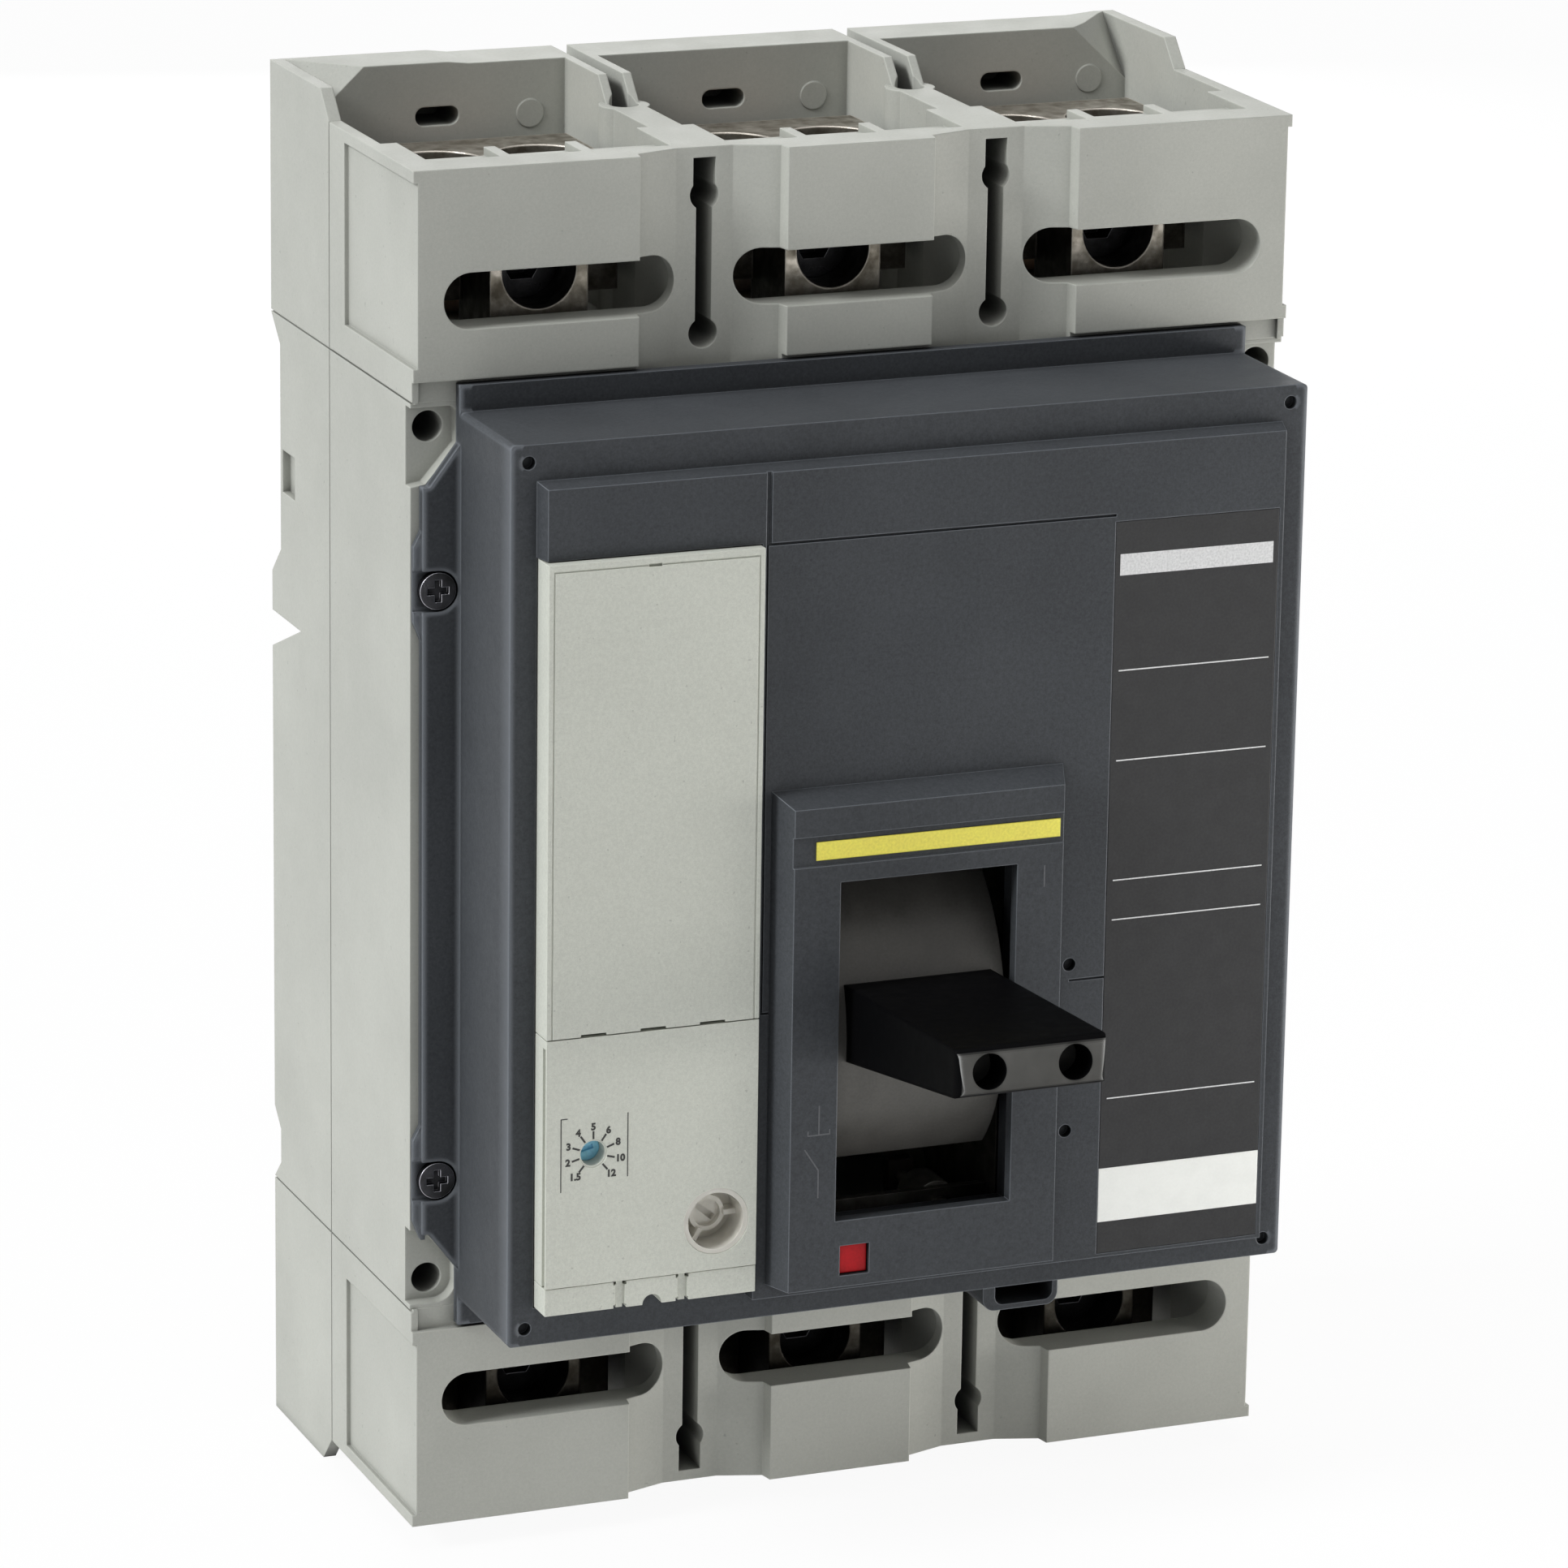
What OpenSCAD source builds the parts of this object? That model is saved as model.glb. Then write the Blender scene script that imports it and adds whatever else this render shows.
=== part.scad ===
// Three-pole moulded case circuit breaker, millimetres.
// +X to the right, +Z up to the line end, front towards -Y.
// The origin is the middle of the rear mounting plane.

/* [Case] */
// Width of the case
case_w = 210; // [200:1:230]
// Height of the case over its rear end walls
case_h = 327; // [315:1:345]
// Depth of the rear base
base_d = 42; // [38:1:46]
// Depth of the middle case, in front of the base
mid_d = 56; // [52:1:60]
// Height of each terminal block at the side seam
block_h = 52; // [48:1:56]
// Depth of the terminal blocks' front face
block_front = 100; // [99:0.5:104]
// Drop from the rear end wall to the front rim
rim_drop = 6.5; // [4:0.5:10]
// Outer wall thickness
wall = 4; // [3:0.25:5]
// Back wall thickness
back_wall = 10; // [9:0.5:12]
// Thickness of the wall between two poles
pole_wall = 8; // [7:0.5:10]

/* [Terminals] */
// Depth of the thick rear end wall of a pocket
pocket_back = 15; // [12:0.5:18]
// Margin between a front window's end and its pocket's side
window_margin = 3; // [2:0.5:8]
// Height of a front window
window_h = 12.7; // [9:0.1:15]
// Window centre below the front rim
window_drop = 29.5; // [26:0.5:33]
// Thickness of a pocket's front wall
front_wall = 10; // [8:0.5:12]
// Depth of the barrier recess
recess_d = 6.5; // [4:0.5:9]
// Width of the barrier slot
slot_w = 3.8; // [3:0.1:5]
// Diameter of the barrier slot's bulb
bulb_d = 6.8; // [6:0.1:8]
// Diameter of a lug's wire hole
wire_d = 21; // [18:0.5:21.5]
// Height of a lug's body
lug_h = 29; // [26:0.5:31]
// Diameter of a lug's clamping screw
lug_screw_d = 17.5; // [14:0.5:18]
// Thickness of the copper straps
strap_t = 8; // [6:0.5:9]
// Width of the copper straps
strap_w = 28; // [24:1:32]

/* [Mounting] */
// Inset of the mounting holes from the case's sides
mount_inset = 5; // [4.8:0.1:6]
// Distance of the mounting holes from the terminal blocks
mount_drop = 6; // [5:0.5:9]
// Diameter of the mounting holes
mount_d = 7; // [6:0.1:7.6]
// Depth of the mounting ear below the case front
ear_recess = 3.3; // [2:0.1:5]

/* [Cover] */
// Inset of the cover's side walls from the case's sides
cover_inset = 10.5; // [9.5:0.5:12]
// Gap between the cover and each terminal block
cover_gap = 2; // [1:0.5:4]
// Depth of the cover in front of the case
cover_d = 36; // [33:0.5:39]
// Wall thickness of the cover
cover_wall = 3; // [2.5:0.1:3.5]
// Height of the raised front panel
panel_rise = 4.5; // [3:0.1:6]
// Height of the flange strip above the cover
flange_h = 6; // [4:0.5:7]
// Diameter of the cover screw heads
cover_screw_d = 8.4; // [7.5:0.1:9]

/* [Trip unit] */
// Width of the trip unit as a share of the cover's
trip_share = 0.2646; // [0.25:0.001:0.268]
// Inset of the trip unit's left edge from the cover's side
trip_inset = 6.3; // [5.5:0.1:7]
// Distance of the trip unit's top from the cover's top
trip_top_inset = 25.4; // [22:0.1:28]
// Distance of the trip unit's bottom from the cover's bottom
trip_bottom_inset = 9; // [7:0.5:11]
// Trip unit face in front of the raised panel
trip_rise = 2.5; // [1.5:0.1:4]
// Height of the trip unit's joint line above its bottom
trip_joint = 64; // [58:0.5:70]
// Height of the rating plug
plug_h = 6.2; // [5:0.1:8]
// Diameter of the setting dial
dial_d = 5.7; // [5:0.1:8]
// Diameter of the cover fastener
fastener_d = 15.4; // [12:0.1:16]

/* [Toggle] */
// Height of the toggle axis above the escutcheon's lower edge
toggle_rise = 55.1; // [54:0.1:57]
// Outer radius of the toggle drum
drum_r = 44.5; // [42:0.1:45.5]
// Width of the toggle drum
drum_w = 41.4; // [38:0.1:41.8]
// Reach of the handle tip from the toggle axis
handle_reach = 107.5; // [95:0.5:112]
// Width of the handle
handle_w = 35.5; // [32:0.1:38]
// Thickness of the handle at the drum
handle_root = 17.6; // [15:0.1:19]
// Thickness of the handle at its tip
handle_tip = 11; // [10:0.1:14]
// Handle angle as stored, above level
handle_rest = 7; // [0:0.5:10]
// Height of the toggle opening
opening_h = 79.2; // [78:0.1:82]
// Width of the toggle opening
opening_w = 42.4; // [42:0.1:44]
// Height of the escutcheon above the raised panel
bezel_rise = 7.5; // [6:0.1:9]
// Diameter of the toggle pivot pin
pivot_d = 8; // [7:0.5:9]
// Side of the trip button
button_w = 6.5; // [5:0.1:8]

/* [Contacts] */
// Diameter of the contact crossbar
crossbar_d = 24; // [20:0.5:26]
// Depth of the crossbar axis
crossbar_y = 66; // [64:0.5:68]
// Height of the crossbar axis above the centre line
crossbar_z = -12; // [-14:0.5:-8]
// Height of the contact tips above the crossbar
arm_reach = 74; // [70:0.5:76]
// Opening angle of the contacts as stored
contact_open = 14; // [10:1:18]
// Radial running clearance of the shafts
run_gap = 0.05; // [0.02:0.01:0.1]

/* [Hidden] */
$fn = 64;
// Clearance between pieces that slot together.
fit_gap = 0.3;
// Overshoot of a cut past the surface it opens.
past = 1;

half_w = case_w / 2;
half_h = case_h / 2;
rim_z = half_h - rim_drop;
seam_z = rim_z - block_h;
cover_w = case_w - 2 * cover_inset;
cover_h = 2 * (seam_z - cover_gap);
mount_x = case_w - 2 * mount_inset;
mount_z = 2 * (seam_z - mount_drop);
case_front = base_d + mid_d;
cover_face = case_front + cover_d;
panel_face = cover_face + panel_rise;
trip_face = panel_face + trip_rise;
bezel_face = panel_face + bezel_rise;
pole_pitch = case_w / 3;
poles = [-pole_pitch, 0, pole_pitch];
webs = [-pole_pitch / 2, pole_pitch / 2];
chamber_half = (pole_pitch - pole_wall) / 2;
chamber_z = seam_z - wall;
pocket_z = seam_z + wall;

// Rear outline of the base.
tall_d = base_d - 6;
feet_inset = 6.5;
hook_top = 34;
hook_bottom = 26;
hook_d = 21;
hook_w = 14;
step_z = 50;
low_step_z = 13 - seam_z;
low_inset = 4.7;
seam_w = 0.5;
seam_depth = 0.5;
low_top = 0.6;
low_from = [42.6 - half_w, 37.5 - half_w];
low_to = [half_w - 12, half_w - 5];
facet_w = 16.5;
facet_h = 14.5;
pocket_wall = 3;
strap_y = 22;
mark_x = 22.5;
mark_d = 6.6;
foot_x = [24, 29];
foot_drop = 3;
rear_slot_w = 10.5;
rear_slot_h = 4.4;
rear_slot_skin = 1.2;
rear_slot_z = half_h - 12.4;
undercut_z = half_h - 19;
undercut_wall = 9;
side_pocket = [9, 2, 10];
side_pocket_y = 8;
side_pocket_z = 64;

// Terminal pocket.
shelf_front = 79;
shelf_drop = 2;
shelf_t = 12;
neck_d = 69;
neck_half = chamber_half - 2.8;
window_w = 2 * (chamber_half - window_margin);
recess_half = pole_pitch / 4;
rib_w = 2.6;
rib_x = [-10.2, 8.8];
window_z = rim_z - window_drop;
recess_step = 0.6;
recess_flat = 6.7;
key_wide = 5.3;
key_top = 2.4;
key_bulb = 10.8;
key_foot = 42;
key_d = 22;
groove_end = base_d + 1;
post_wall = 2.4;
groove_floor = rim_z - 44;
panel_line = 53;
panel_sink = 1;
panel_edge = 2.7;
panel_foot = 8;
lip_h = 5;
lip_sink = 2;
lip_edge = 1.6;
case_screw_z = [-seam_z - 4, 45 - seam_z, seam_z - 45, seam_z + 4];
case_screw_d = 3.6;
case_screw_l = 58;
case_head_d = 6.4;
case_head_y = 12;
case_head_t = 2.4;

// Lugs and straps.
wire_gap = 3.6;
wire_x = (wire_d + wire_gap) / 2;
lug_side = 3;
lug_w = 2 * wire_x + wire_d + 2 * lug_side;
lug_back = strap_y + strap_t;
lug_front = 64;
wire_y = lug_front - 3 - wire_d / 2;
lug_top = half_h - 15;
lug_bottom = lug_top - lug_h;
tower_w = 23;
tower_front = 83.5;
tower_z = [pocket_z + 3, rim_z - shelf_t - 0.5];
lug_screw_z = window_z + 2;
lug_screw_y = [lug_front - 2.4, lug_front + 8];
lug_screw_floor = lug_front - 5;
lug_hex = 10;
strap_gap = 0.5;

// Ears and bosses.
ear_face = case_front - ear_recess;
ear_post = 13;
ear_w = 10.8;
ear_low = seam_z - 19;
ear_slope = 9.2;
ear_top = 1;
ear_lip = 3.4;
boss_z = [seam_z - 42, 31 - seam_z];
boss_x = half_w - 5.5;
boss_w = 11;
boss_half = 8;
front_plate = 4;
screw_shank_d = 4.4;
screw_l = 20;

// Cover.
flange_t = 3;
flange_x = half_w - 2;
bulge_out = 1.8;
bulge_t = 1.8;
bulge_z = [[boss_z[0] - 11.5, boss_z[0] + 13.5], [boss_z[1] - 14, boss_z[1] + 13]];
seat_d = 9.4;
seat_floor = 0.8;
latch_x = [20.5, 39];
latch_back = 18;
latch_drop = 5.6;
panel_half_w = cover_w / 2 - 6.9;
panel_top = cover_h / 2 - 8;
panel_bottom = 6 - cover_h / 2;
panel_bevel = 1.2;
groove_w = 1.2;
groove_d = 0.6;
corner_hole_inset = 4;
corner_hole_d = 3;
label_t = 0.4;

// Trip unit.
trip_w = trip_share * cover_w;
trip_x = cover_w / 2 - trip_inset;
trip_top = cover_h / 2 - trip_top_inset;
trip_bottom = cover_h / 2 - trip_bottom_inset;
trip_right = trip_w - trip_x;
trip_back = case_front + 2;
trip_wall = 2;
trip_joint_z = trip_joint - trip_bottom;
plug_z = plug_h - trip_bottom;
joint_gap = 0.3;
bead_w = 0.4;
board_y = case_front + 14;
board_t = 1.6;
dial_x = 11.1 - trip_x;
dial_z = trip_joint_z - 27;
dial_sink = 4;
dial_l = 14;
dial_collar = 9;
dial_stem = 4;
dial_rest = -105;
fastener_x = trip_right - 9.6;
fastener_z = trip_joint_z - 46.2;
fastener_l = 10;
fastener_wall = 1.1;
fastener_core = 8.4;
plug_slots = [[16.6, 18.9], [31.4, 33.7]];
plug_notch = [25.4, 4.6];
plug_pit = 0.8;
plug_t = 6;
vent_x = [8, 22, 36];
vent_w = 6;
vent_h = 0.8;
top_slot_x = [23, 26];
board_posts = [10, 14];
chip_x = [16, 28];
chip_z = [0, 20, 40];
chip_w = 8;
lead_edge = 6;
lead_z = [28 - trip_bottom, trip_top - 17.6];

// Labels on the right of the cover.
label_x = [panel_half_w - 41.1, panel_half_w - 1.2];
label_z = [panel_bottom + 1, trip_top - 1.6];
white_z = [label_z[0] + 7.5, label_z[0] + 20.4];

// Escutcheon and toggle.
bezel_share = 0.1852;
bezel_half = bezel_share * cover_w;
bezel_bottom = 9.5 - cover_h / 2;
toggle_z = bezel_bottom + toggle_rise;
bezel_top = bezel_bottom + 115;
bezel_bevel = 2.7;
bezel_rim = 3;
bezel_undercut = 3.5;
well_half = opening_w / 2 + 4.8;
well_z = [bezel_bottom + 0.5, bezel_top - 9];
mechanism_top = bezel_top + 8.5;
guide_x = bezel_half + 2.8;
guide_z = [toggle_z + 12.4, toggle_z - 27.1];
toggle_y = case_front;
band_z = [bezel_top - 16, bezel_top - 9.1];
band_sink = 0.5;
stripe_h = 4.2;
stripe_x = [-27, 31.5];
stripe_t = 0.3;
drum_t = 3;
drum_from = -49;
drum_to = 60;
cheek_t = 3;
cheek_margin = 8;
hub_d = 18;
drum_gap = 0.7;
tang_w = 24;
tang_t = 8;
tang_r = 32;
tip_hole_d = 8;
tip_hole_x = 10.1;
tip_hole_depth = 9;
handle_round = 2.2;
yoke_t = 2;
yoke_half = 15;
yoke_w = 10;
spring_bar_r = 9;
button_x = -16.4;
button_z = bezel_bottom + 6.2;
button_out = 1;
button_stem = 3.5;
button_seat = cover_face - 2;
button_back = case_front - 3.8;
button_flange = 9;
spring_wire = 0.8;

// Mechanism and contacts.
frame_x = chamber_half - 3;
frame_t = 2.5;
frame_front = case_front + 24;
frame_back = 42;
trip_bar_d = 6;
trip_bar_y = case_front - 8;
trip_bar_z = button_z - 9.2;
lever_w = 6;
lever_t = 3;
rail_y = case_front + 17;
rail_t = 2.2;
actuator_z = button_z - 1;
spacers = [[crossbar_y - 6, toggle_z - 2], [case_front - 14, toggle_z - 34]];
arm_w = 14;
arm_t = 9;
pad_d = 12;
pad_t = 3;
chute_z = [crossbar_z + arm_reach + 11, chamber_z];
chute_half = pole_pitch / 2 - 15;
chute_back = 34;
chute_front = 86;
chute_plates = 6;
plate_t = 1.6;
ct_z = [15 - chamber_z, 41 - chamber_z];
ct_half = pole_pitch / 2 - 14;
ct_back = back_wall;
ct_front = 58;
load_top = crossbar_z - 6;
fork_t = 3.5;
fork_gap = 0.4;

// ---------------------------------------------------------------- helpers

// A block between two limits on each axis; y is given as depths behind the mounting plane.
module block(x, depth, z) {
  translate([x[0], -depth[1], z[0]])
    cube([x[1] - x[0], depth[1] - depth[0], z[1] - z[0]]);
}

// A profile drawn in (x, z), filled between two depths.
module in_depth(depth) {
  translate([0, -depth[0], 0])
    rotate([90, 0, 0])
      linear_extrude(depth[1] - depth[0])
        children();
}

// A profile drawn in (-depth, z), filled between two x positions.
module across(x) {
  translate([x[0], 0, 0])
    rotate([90, 0, 90])
      linear_extrude(x[1] - x[0])
        children();
}

// A round bar along the depth axis.
module depth_bar(x, z, d, depth) {
  translate([x, -depth[0], z])
    rotate([90, 0, 0])
      cylinder(d = d, h = depth[1] - depth[0]);
}

// A round bar along X on an axis at a depth and height.
module x_bar(depth, z, d, x) {
  translate([x[0], -depth, z])
    rotate([0, 90, 0])
      cylinder(d = d, h = x[1] - x[0]);
}

module rounded_rect(x, z, r) {
  for (px = [x[0] + r, x[1] - r], pz = [z[0] + r, z[1] - r])
    translate([px, pz])
      circle(r);
  translate([x[0] + r, z[0]])
    square([x[1] - x[0] - 2 * r, z[1] - z[0]]);
  translate([x[0], z[0] + r])
    square([x[1] - x[0], z[1] - z[0] - 2 * r]);
}

module mirror_pair(axis) {
  children();
  mirror(axis)
    children();
}

// Both ends of the breaker: the line end and its mirror image.
module both_ends() {
  mirror_pair([0, 0, 1])
    children();
}

// Turns children about an axis along X; a positive angle lifts the front.
module lift(depth, z, angle) {
  translate([0, -depth, z])
    rotate([-angle, 0, 0])
      translate([0, depth, -z])
        children();
}

// A coil along +Z from the origin: rings of a small polygon swept along the helix.
module coil(r, wire, length, turns) {
  sides = 6;
  steps = 14;
  rings = turns * steps;
  points = [
    for (i = [0:rings]) for (j = [0:sides - 1])
      let (
        turn = 360 * i / steps,
        side = 360 * j / sides,
        ring_r = r + wire / 2 * cos(side)
      )
      [ring_r * cos(turn), ring_r * sin(turn), length * i / rings + wire / 2 * sin(side)]
  ];
  skin = [
    for (i = [0:rings - 1]) for (j = [0:sides - 1])
      let (a = i * sides + j, b = i * sides + (j + 1) % sides)
      [a, a + sides, b + sides, b]
  ];
  first_end = [for (j = [0:sides - 1]) j];
  last_end = [for (j = [sides - 1:-1:0]) rings * sides + j];
  polyhedron(points, concat([first_end], skin, [last_end]), convexity = 4);
}

// ---------------------------------------------------------------- case

module mount_bores(depth) {
  for (x = [-mount_x / 2, mount_x / 2], z = [-mount_z / 2, mount_z / 2])
    depth_bar(x, z, mount_d, depth);
}

// The screws that tie the case together enter from the back, in the walls between poles.
module case_screw_bores(d, depth) {
  for (x = webs, z = case_screw_z)
    depth_bar(x, z, d, depth);
}

// One pole's chamber in (x, z), clear of the corner posts and the cover screw bosses.
module chamber_outline(pole, bosses) {
  difference() {
    translate([pole - chamber_half, -chamber_z])
      square([2 * chamber_half, 2 * chamber_z]);
    for (x = [-half_w, half_w - ear_post], z = [-seam_z, seam_z - ear_post - wall])
      translate([x, z])
        square([ear_post, ear_post + wall]);
    if (bosses)
      for (x = [-half_w, half_w - boss_w], z = boss_z)
        translate([x, z - boss_half])
          square([boss_w, 2 * boss_half]);
  }
}

// Side view of the base: its back is stepped, and the end walls stand higher than the front rim.
module base_side_profile() {
  polygon([
    [0, -half_h], [0, -seam_z], [-low_inset, -seam_z + low_inset], [-low_inset, low_step_z],
    [0, low_step_z + low_inset], [0, hook_bottom], [0, step_z - feet_inset],
    [-feet_inset, step_z], [-feet_inset, seam_z - feet_inset], [0, seam_z],
    [0, half_h], [-tall_d, half_h], [-base_d, rim_z], [-base_d, -rim_z], [-tall_d, -half_h]
  ]);
}

// Fine groove along the joint between two mouldings, on both side walls.
module seam_groove(depth, z) {
  mirror_pair([1, 0, 0])
    block([-half_w - past, seam_depth - half_w], depth, z);
}

// How far a pocket reaches to each side: the outer walls are thinner than those between poles.
function pocket_left(pole) = pole < 0 ? pocket_wall - half_w : pole - chamber_half;
function pocket_right(pole) = pole > 0 ? half_w - pocket_wall : pole + chamber_half;

module barrier_slot(depth) {
  for (x = webs) {
    block([x - slot_w / 2, x + slot_w / 2], depth, [groove_floor, half_h + past]);
    translate([x, -groove_end, groove_floor])
      cylinder(d = bulb_d, h = half_h);
  }
}

// Round post that holds the slot's bulb in the wall between two poles.
module barrier_post(top) {
  for (x = webs)
    translate([x, -groove_end, pocket_z - past])
      cylinder(d = bulb_d + 2 * post_wall, h = top - pocket_z + past);
}

// Slanted facet in a top corner, where the rear wall meets the outer wall.
module corner_facet() {
  x = half_w - pocket_wall;
  top = half_h + past;
  polyhedron(
    [[x, 0, top], [x, -pocket_back - past, top],
     [x - facet_w, -pocket_back - past, top], [x, -pocket_back - past, half_h - facet_h]],
    [[0, 2, 1], [0, 1, 3], [1, 2, 3], [0, 3, 2]]);
}

module rear_end_cuts() {
  for (pole = poles) {
    block([pocket_left(pole), pocket_right(pole)], [pocket_back, base_d + past],
          [pocket_z, half_h + past]);
    block([pole - chamber_half, pole + chamber_half], [undercut_wall, base_d + past],
          [pocket_z, undercut_z]);
    in_depth([rear_slot_skin, pocket_back + past])
      rounded_rect([pole - rear_slot_w / 2, pole + rear_slot_w / 2],
                   [rear_slot_z - rear_slot_h / 2, rear_slot_z + rear_slot_h / 2],
                   rear_slot_h / 2 - 0.1);
    strap_pass(pole);
  }
  // The end wall's top is lower between the two outer corners.
  in_depth([-past, base_d])
    polygon([
      [low_from[1], half_h + past], [low_from[1], half_h], [low_from[0], half_h - low_top],
      [low_to[0], half_h - low_top], [low_to[1], half_h], [low_to[1], half_h + past]
    ]);
  mirror_pair([1, 0, 0])
    corner_facet();
}

// The window through the wall between a chamber and its terminal pocket.
module strap_pass(pole) {
  block([pole - strap_w / 2 - strap_gap, pole + strap_w / 2 + strap_gap],
        [strap_y - strap_gap, strap_y + strap_t + strap_gap],
        [chamber_z - past, pocket_z + past]);
}

module hook_notch() {
  across([-half_w - past, hook_w - half_w])
    polygon([[past, hook_top], [-hook_d, hook_top], [past, hook_bottom - past]]);
}

module rear_base() {
  color("gainsboro")
    difference() {
      union() {
        difference() {
          across([-half_w, half_w])
            base_side_profile();
          for (pole = poles)
            in_depth([back_wall, base_d + past])
              chamber_outline(pole, false);
          both_ends()
            rear_end_cuts();
        }
        // Barrier posts, moulding marks and a small foot on the end walls.
        both_ends() {
          intersection() {
            barrier_post(rim_z);
            block([-half_w, half_w], [pocket_back, base_d], [seam_z, half_h]);
          }
          for (pole = poles) {
            depth_bar(pole + mark_x, rear_slot_z - 0.6, mark_d, [pocket_back - past, pocket_back + 0.25]);
            block([pole + foot_x[0], pole + foot_x[1]], [undercut_wall + past, pocket_back],
                  [undercut_z - foot_drop, undercut_z + past]);
          }
        }
      }
      both_ends()
        barrier_slot([-past, groove_end]);
      mirror_pair([1, 0, 0])
        hook_notch();
      mirror_pair([1, 0, 0])
        block([-half_w - past, side_pocket[1] - half_w],
              [side_pocket_y, side_pocket_y + side_pocket[0]],
              [side_pocket_z, side_pocket_z + side_pocket[2]]);
      mount_bores([-past, base_d + past]);
      case_screw_bores(case_screw_d, [-past, base_d + past]);
      case_screw_bores(case_head_d + 0.6, [-past, case_head_y]);
      both_ends()
        seam_groove([-past, base_d + past], [seam_z, seam_z + seam_w]);
    }
}

// The front of a terminal block in plan: three modules with barrier recesses between them.
module block_plan() {
  module recess(x) {
    polygon([
      [x - recess_half, -block_front - past],
      [x - recess_half, -block_front],
      [x - recess_half + recess_step, -block_front + recess_d / 2],
      [x - recess_flat, -block_front + recess_d],
      [x + recess_flat, -block_front + recess_d],
      [x + recess_half - recess_step, -block_front + recess_d / 2],
      [x + recess_half, -block_front],
      [x + recess_half, -block_front - past]
    ]);
  }
  difference() {
    translate([-half_w, -block_front])
      square([case_w, block_front - base_d]);
    for (x = webs)
      recess(x);
  }
}

module pocket_cuts(pole) {
  inner = block_front - front_wall;
  // The pocket narrows towards the front, and a shelf closes its front part from above.
  block([pocket_left(pole), pocket_right(pole)], [base_d - past, neck_d], [pocket_z, half_h]);
  block([pole - neck_half, pole + neck_half], [neck_d - past, shelf_front], [pocket_z, half_h]);
  block([pole - neck_half, pole + neck_half], [shelf_front - past, inner],
        [pocket_z, rim_z - shelf_t]);
  // The shelf lies lower than the rim, with two ribs left standing on it.
  difference() {
    block([pole - neck_half, pole + neck_half], [shelf_front - past, inner],
          [rim_z - shelf_drop, half_h]);
    for (x = rib_x)
      block([pole + x - rib_w / 2, pole + x + rib_w / 2], [shelf_front, block_front],
            [seam_z, rim_z]);
  }
  in_depth([inner - past, block_front + past])
    rounded_rect([pole - window_w / 2, pole + window_w / 2],
                 [window_z - window_h / 2, window_z + window_h / 2], window_h / 2 - 0.05);
}

// The keyhole slot that holds a barrier between two poles.
module barrier_keyhole(x) {
  depths = [block_front - key_d, block_front + past];
  block([x - key_wide / 2, x + key_wide / 2], depths, [rim_z - key_bulb, rim_z - key_top]);
  block([x - slot_w / 2, x + slot_w / 2], depths, [rim_z - key_foot, rim_z - key_bulb]);
  depth_bar(x, rim_z - key_bulb, bulb_d, depths);
  depth_bar(x, rim_z - key_foot, bulb_d, depths);
}

module terminal_block() {
  difference() {
    union() {
      difference() {
        translate([0, 0, seam_z])
          linear_extrude(block_h)
            block_plan();
        for (pole = poles)
          pocket_cuts(pole);
      }
      intersection() {
        barrier_post(rim_z);
        block([-half_w, half_w], [base_d, block_front], [seam_z, half_h]);
      }
    }
    barrier_slot([base_d - past, groove_end]);
    for (x = webs)
      barrier_keyhole(x);
    // Sunk panel on each side wall, open to the front.
    mirror_pair([1, 0, 0])
      block([-half_w - past, panel_sink - half_w], [panel_line, block_front + past],
            [seam_z + panel_foot, rim_z - panel_edge]);
    // Lip under the front face, behind the cover's flange.
    block([lip_edge - half_w, half_w - lip_edge], [block_front - lip_sink, block_front + past],
          [seam_z - past, seam_z + lip_h]);
    block([-half_w - past, half_w + past], [block_front - lip_sink / 2, block_front + past],
          [seam_z - past, seam_z + lip_h]);
    case_screw_bores(case_screw_d, [base_d - past, case_screw_l + past]);
    seam_groove([base_d - past, base_d + seam_w], [seam_z - past, half_h]);
    seam_groove([base_d - past, block_front + past], [seam_z - past, seam_z + seam_w]);
  }
}

module line_terminal_block() {
  color("gainsboro")
    terminal_block();
}

module load_terminal_block() {
  color("gainsboro")
    mirror([0, 0, 1])
      terminal_block();
}

// The ear recess in (x, z) at the upper right corner; r rounds its inner corner.
module ear_outline(r) {
  inner = half_w - ear_w;
  top = seam_z - ear_top;
  polygon([
    [half_w + past, ear_low], [half_w - ear_lip, ear_low + 0.7], [inner, ear_low + ear_slope],
    [inner, top - r], [inner + r, top - r], [inner + r, top], [half_w + past, top]
  ]);
  translate([inner + r, top - r])
    circle(r);
}

module mid_case() {
  inner = case_front - front_plate;
  color("gainsboro")
    difference() {
      block([-half_w, half_w], [base_d, case_front], [-seam_z, seam_z]);
      for (pole = poles)
        in_depth([base_d - past, inner])
          chamber_outline(pole, true);
      // The crossbar passes through the walls between the poles.
      x_bar(crossbar_y, crossbar_z, crossbar_d + 8,
            [-pole_pitch / 2 - pole_wall, pole_pitch / 2 + pole_wall]);
      // Front openings for the mechanism and for the trip unit's leads.
      block([0.5 - chamber_half, chamber_half - 0.5], [inner - past, case_front + past],
            [-chamber_z + 0.5, mechanism_top]);
      block([lead_edge - trip_x, trip_right - lead_edge], [inner - past, case_front + past], lead_z);
      in_depth([ear_face, case_front + past])
        mirror_pair([1, 0]) {
          ear_outline(2);
          mirror([0, 1])
            ear_outline(4.5);
        }
      for (x = [-boss_x, boss_x], z = boss_z)
        depth_bar(x, z, screw_shank_d, [case_front - screw_l, case_front + past]);
      mount_bores([base_d - past, case_front + past]);
      case_screw_bores(case_screw_d, [base_d - past, case_screw_l + past]);
      seam_groove([base_d - past, base_d + seam_w], [-seam_z - past, seam_z + past]);
    }
}

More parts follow.
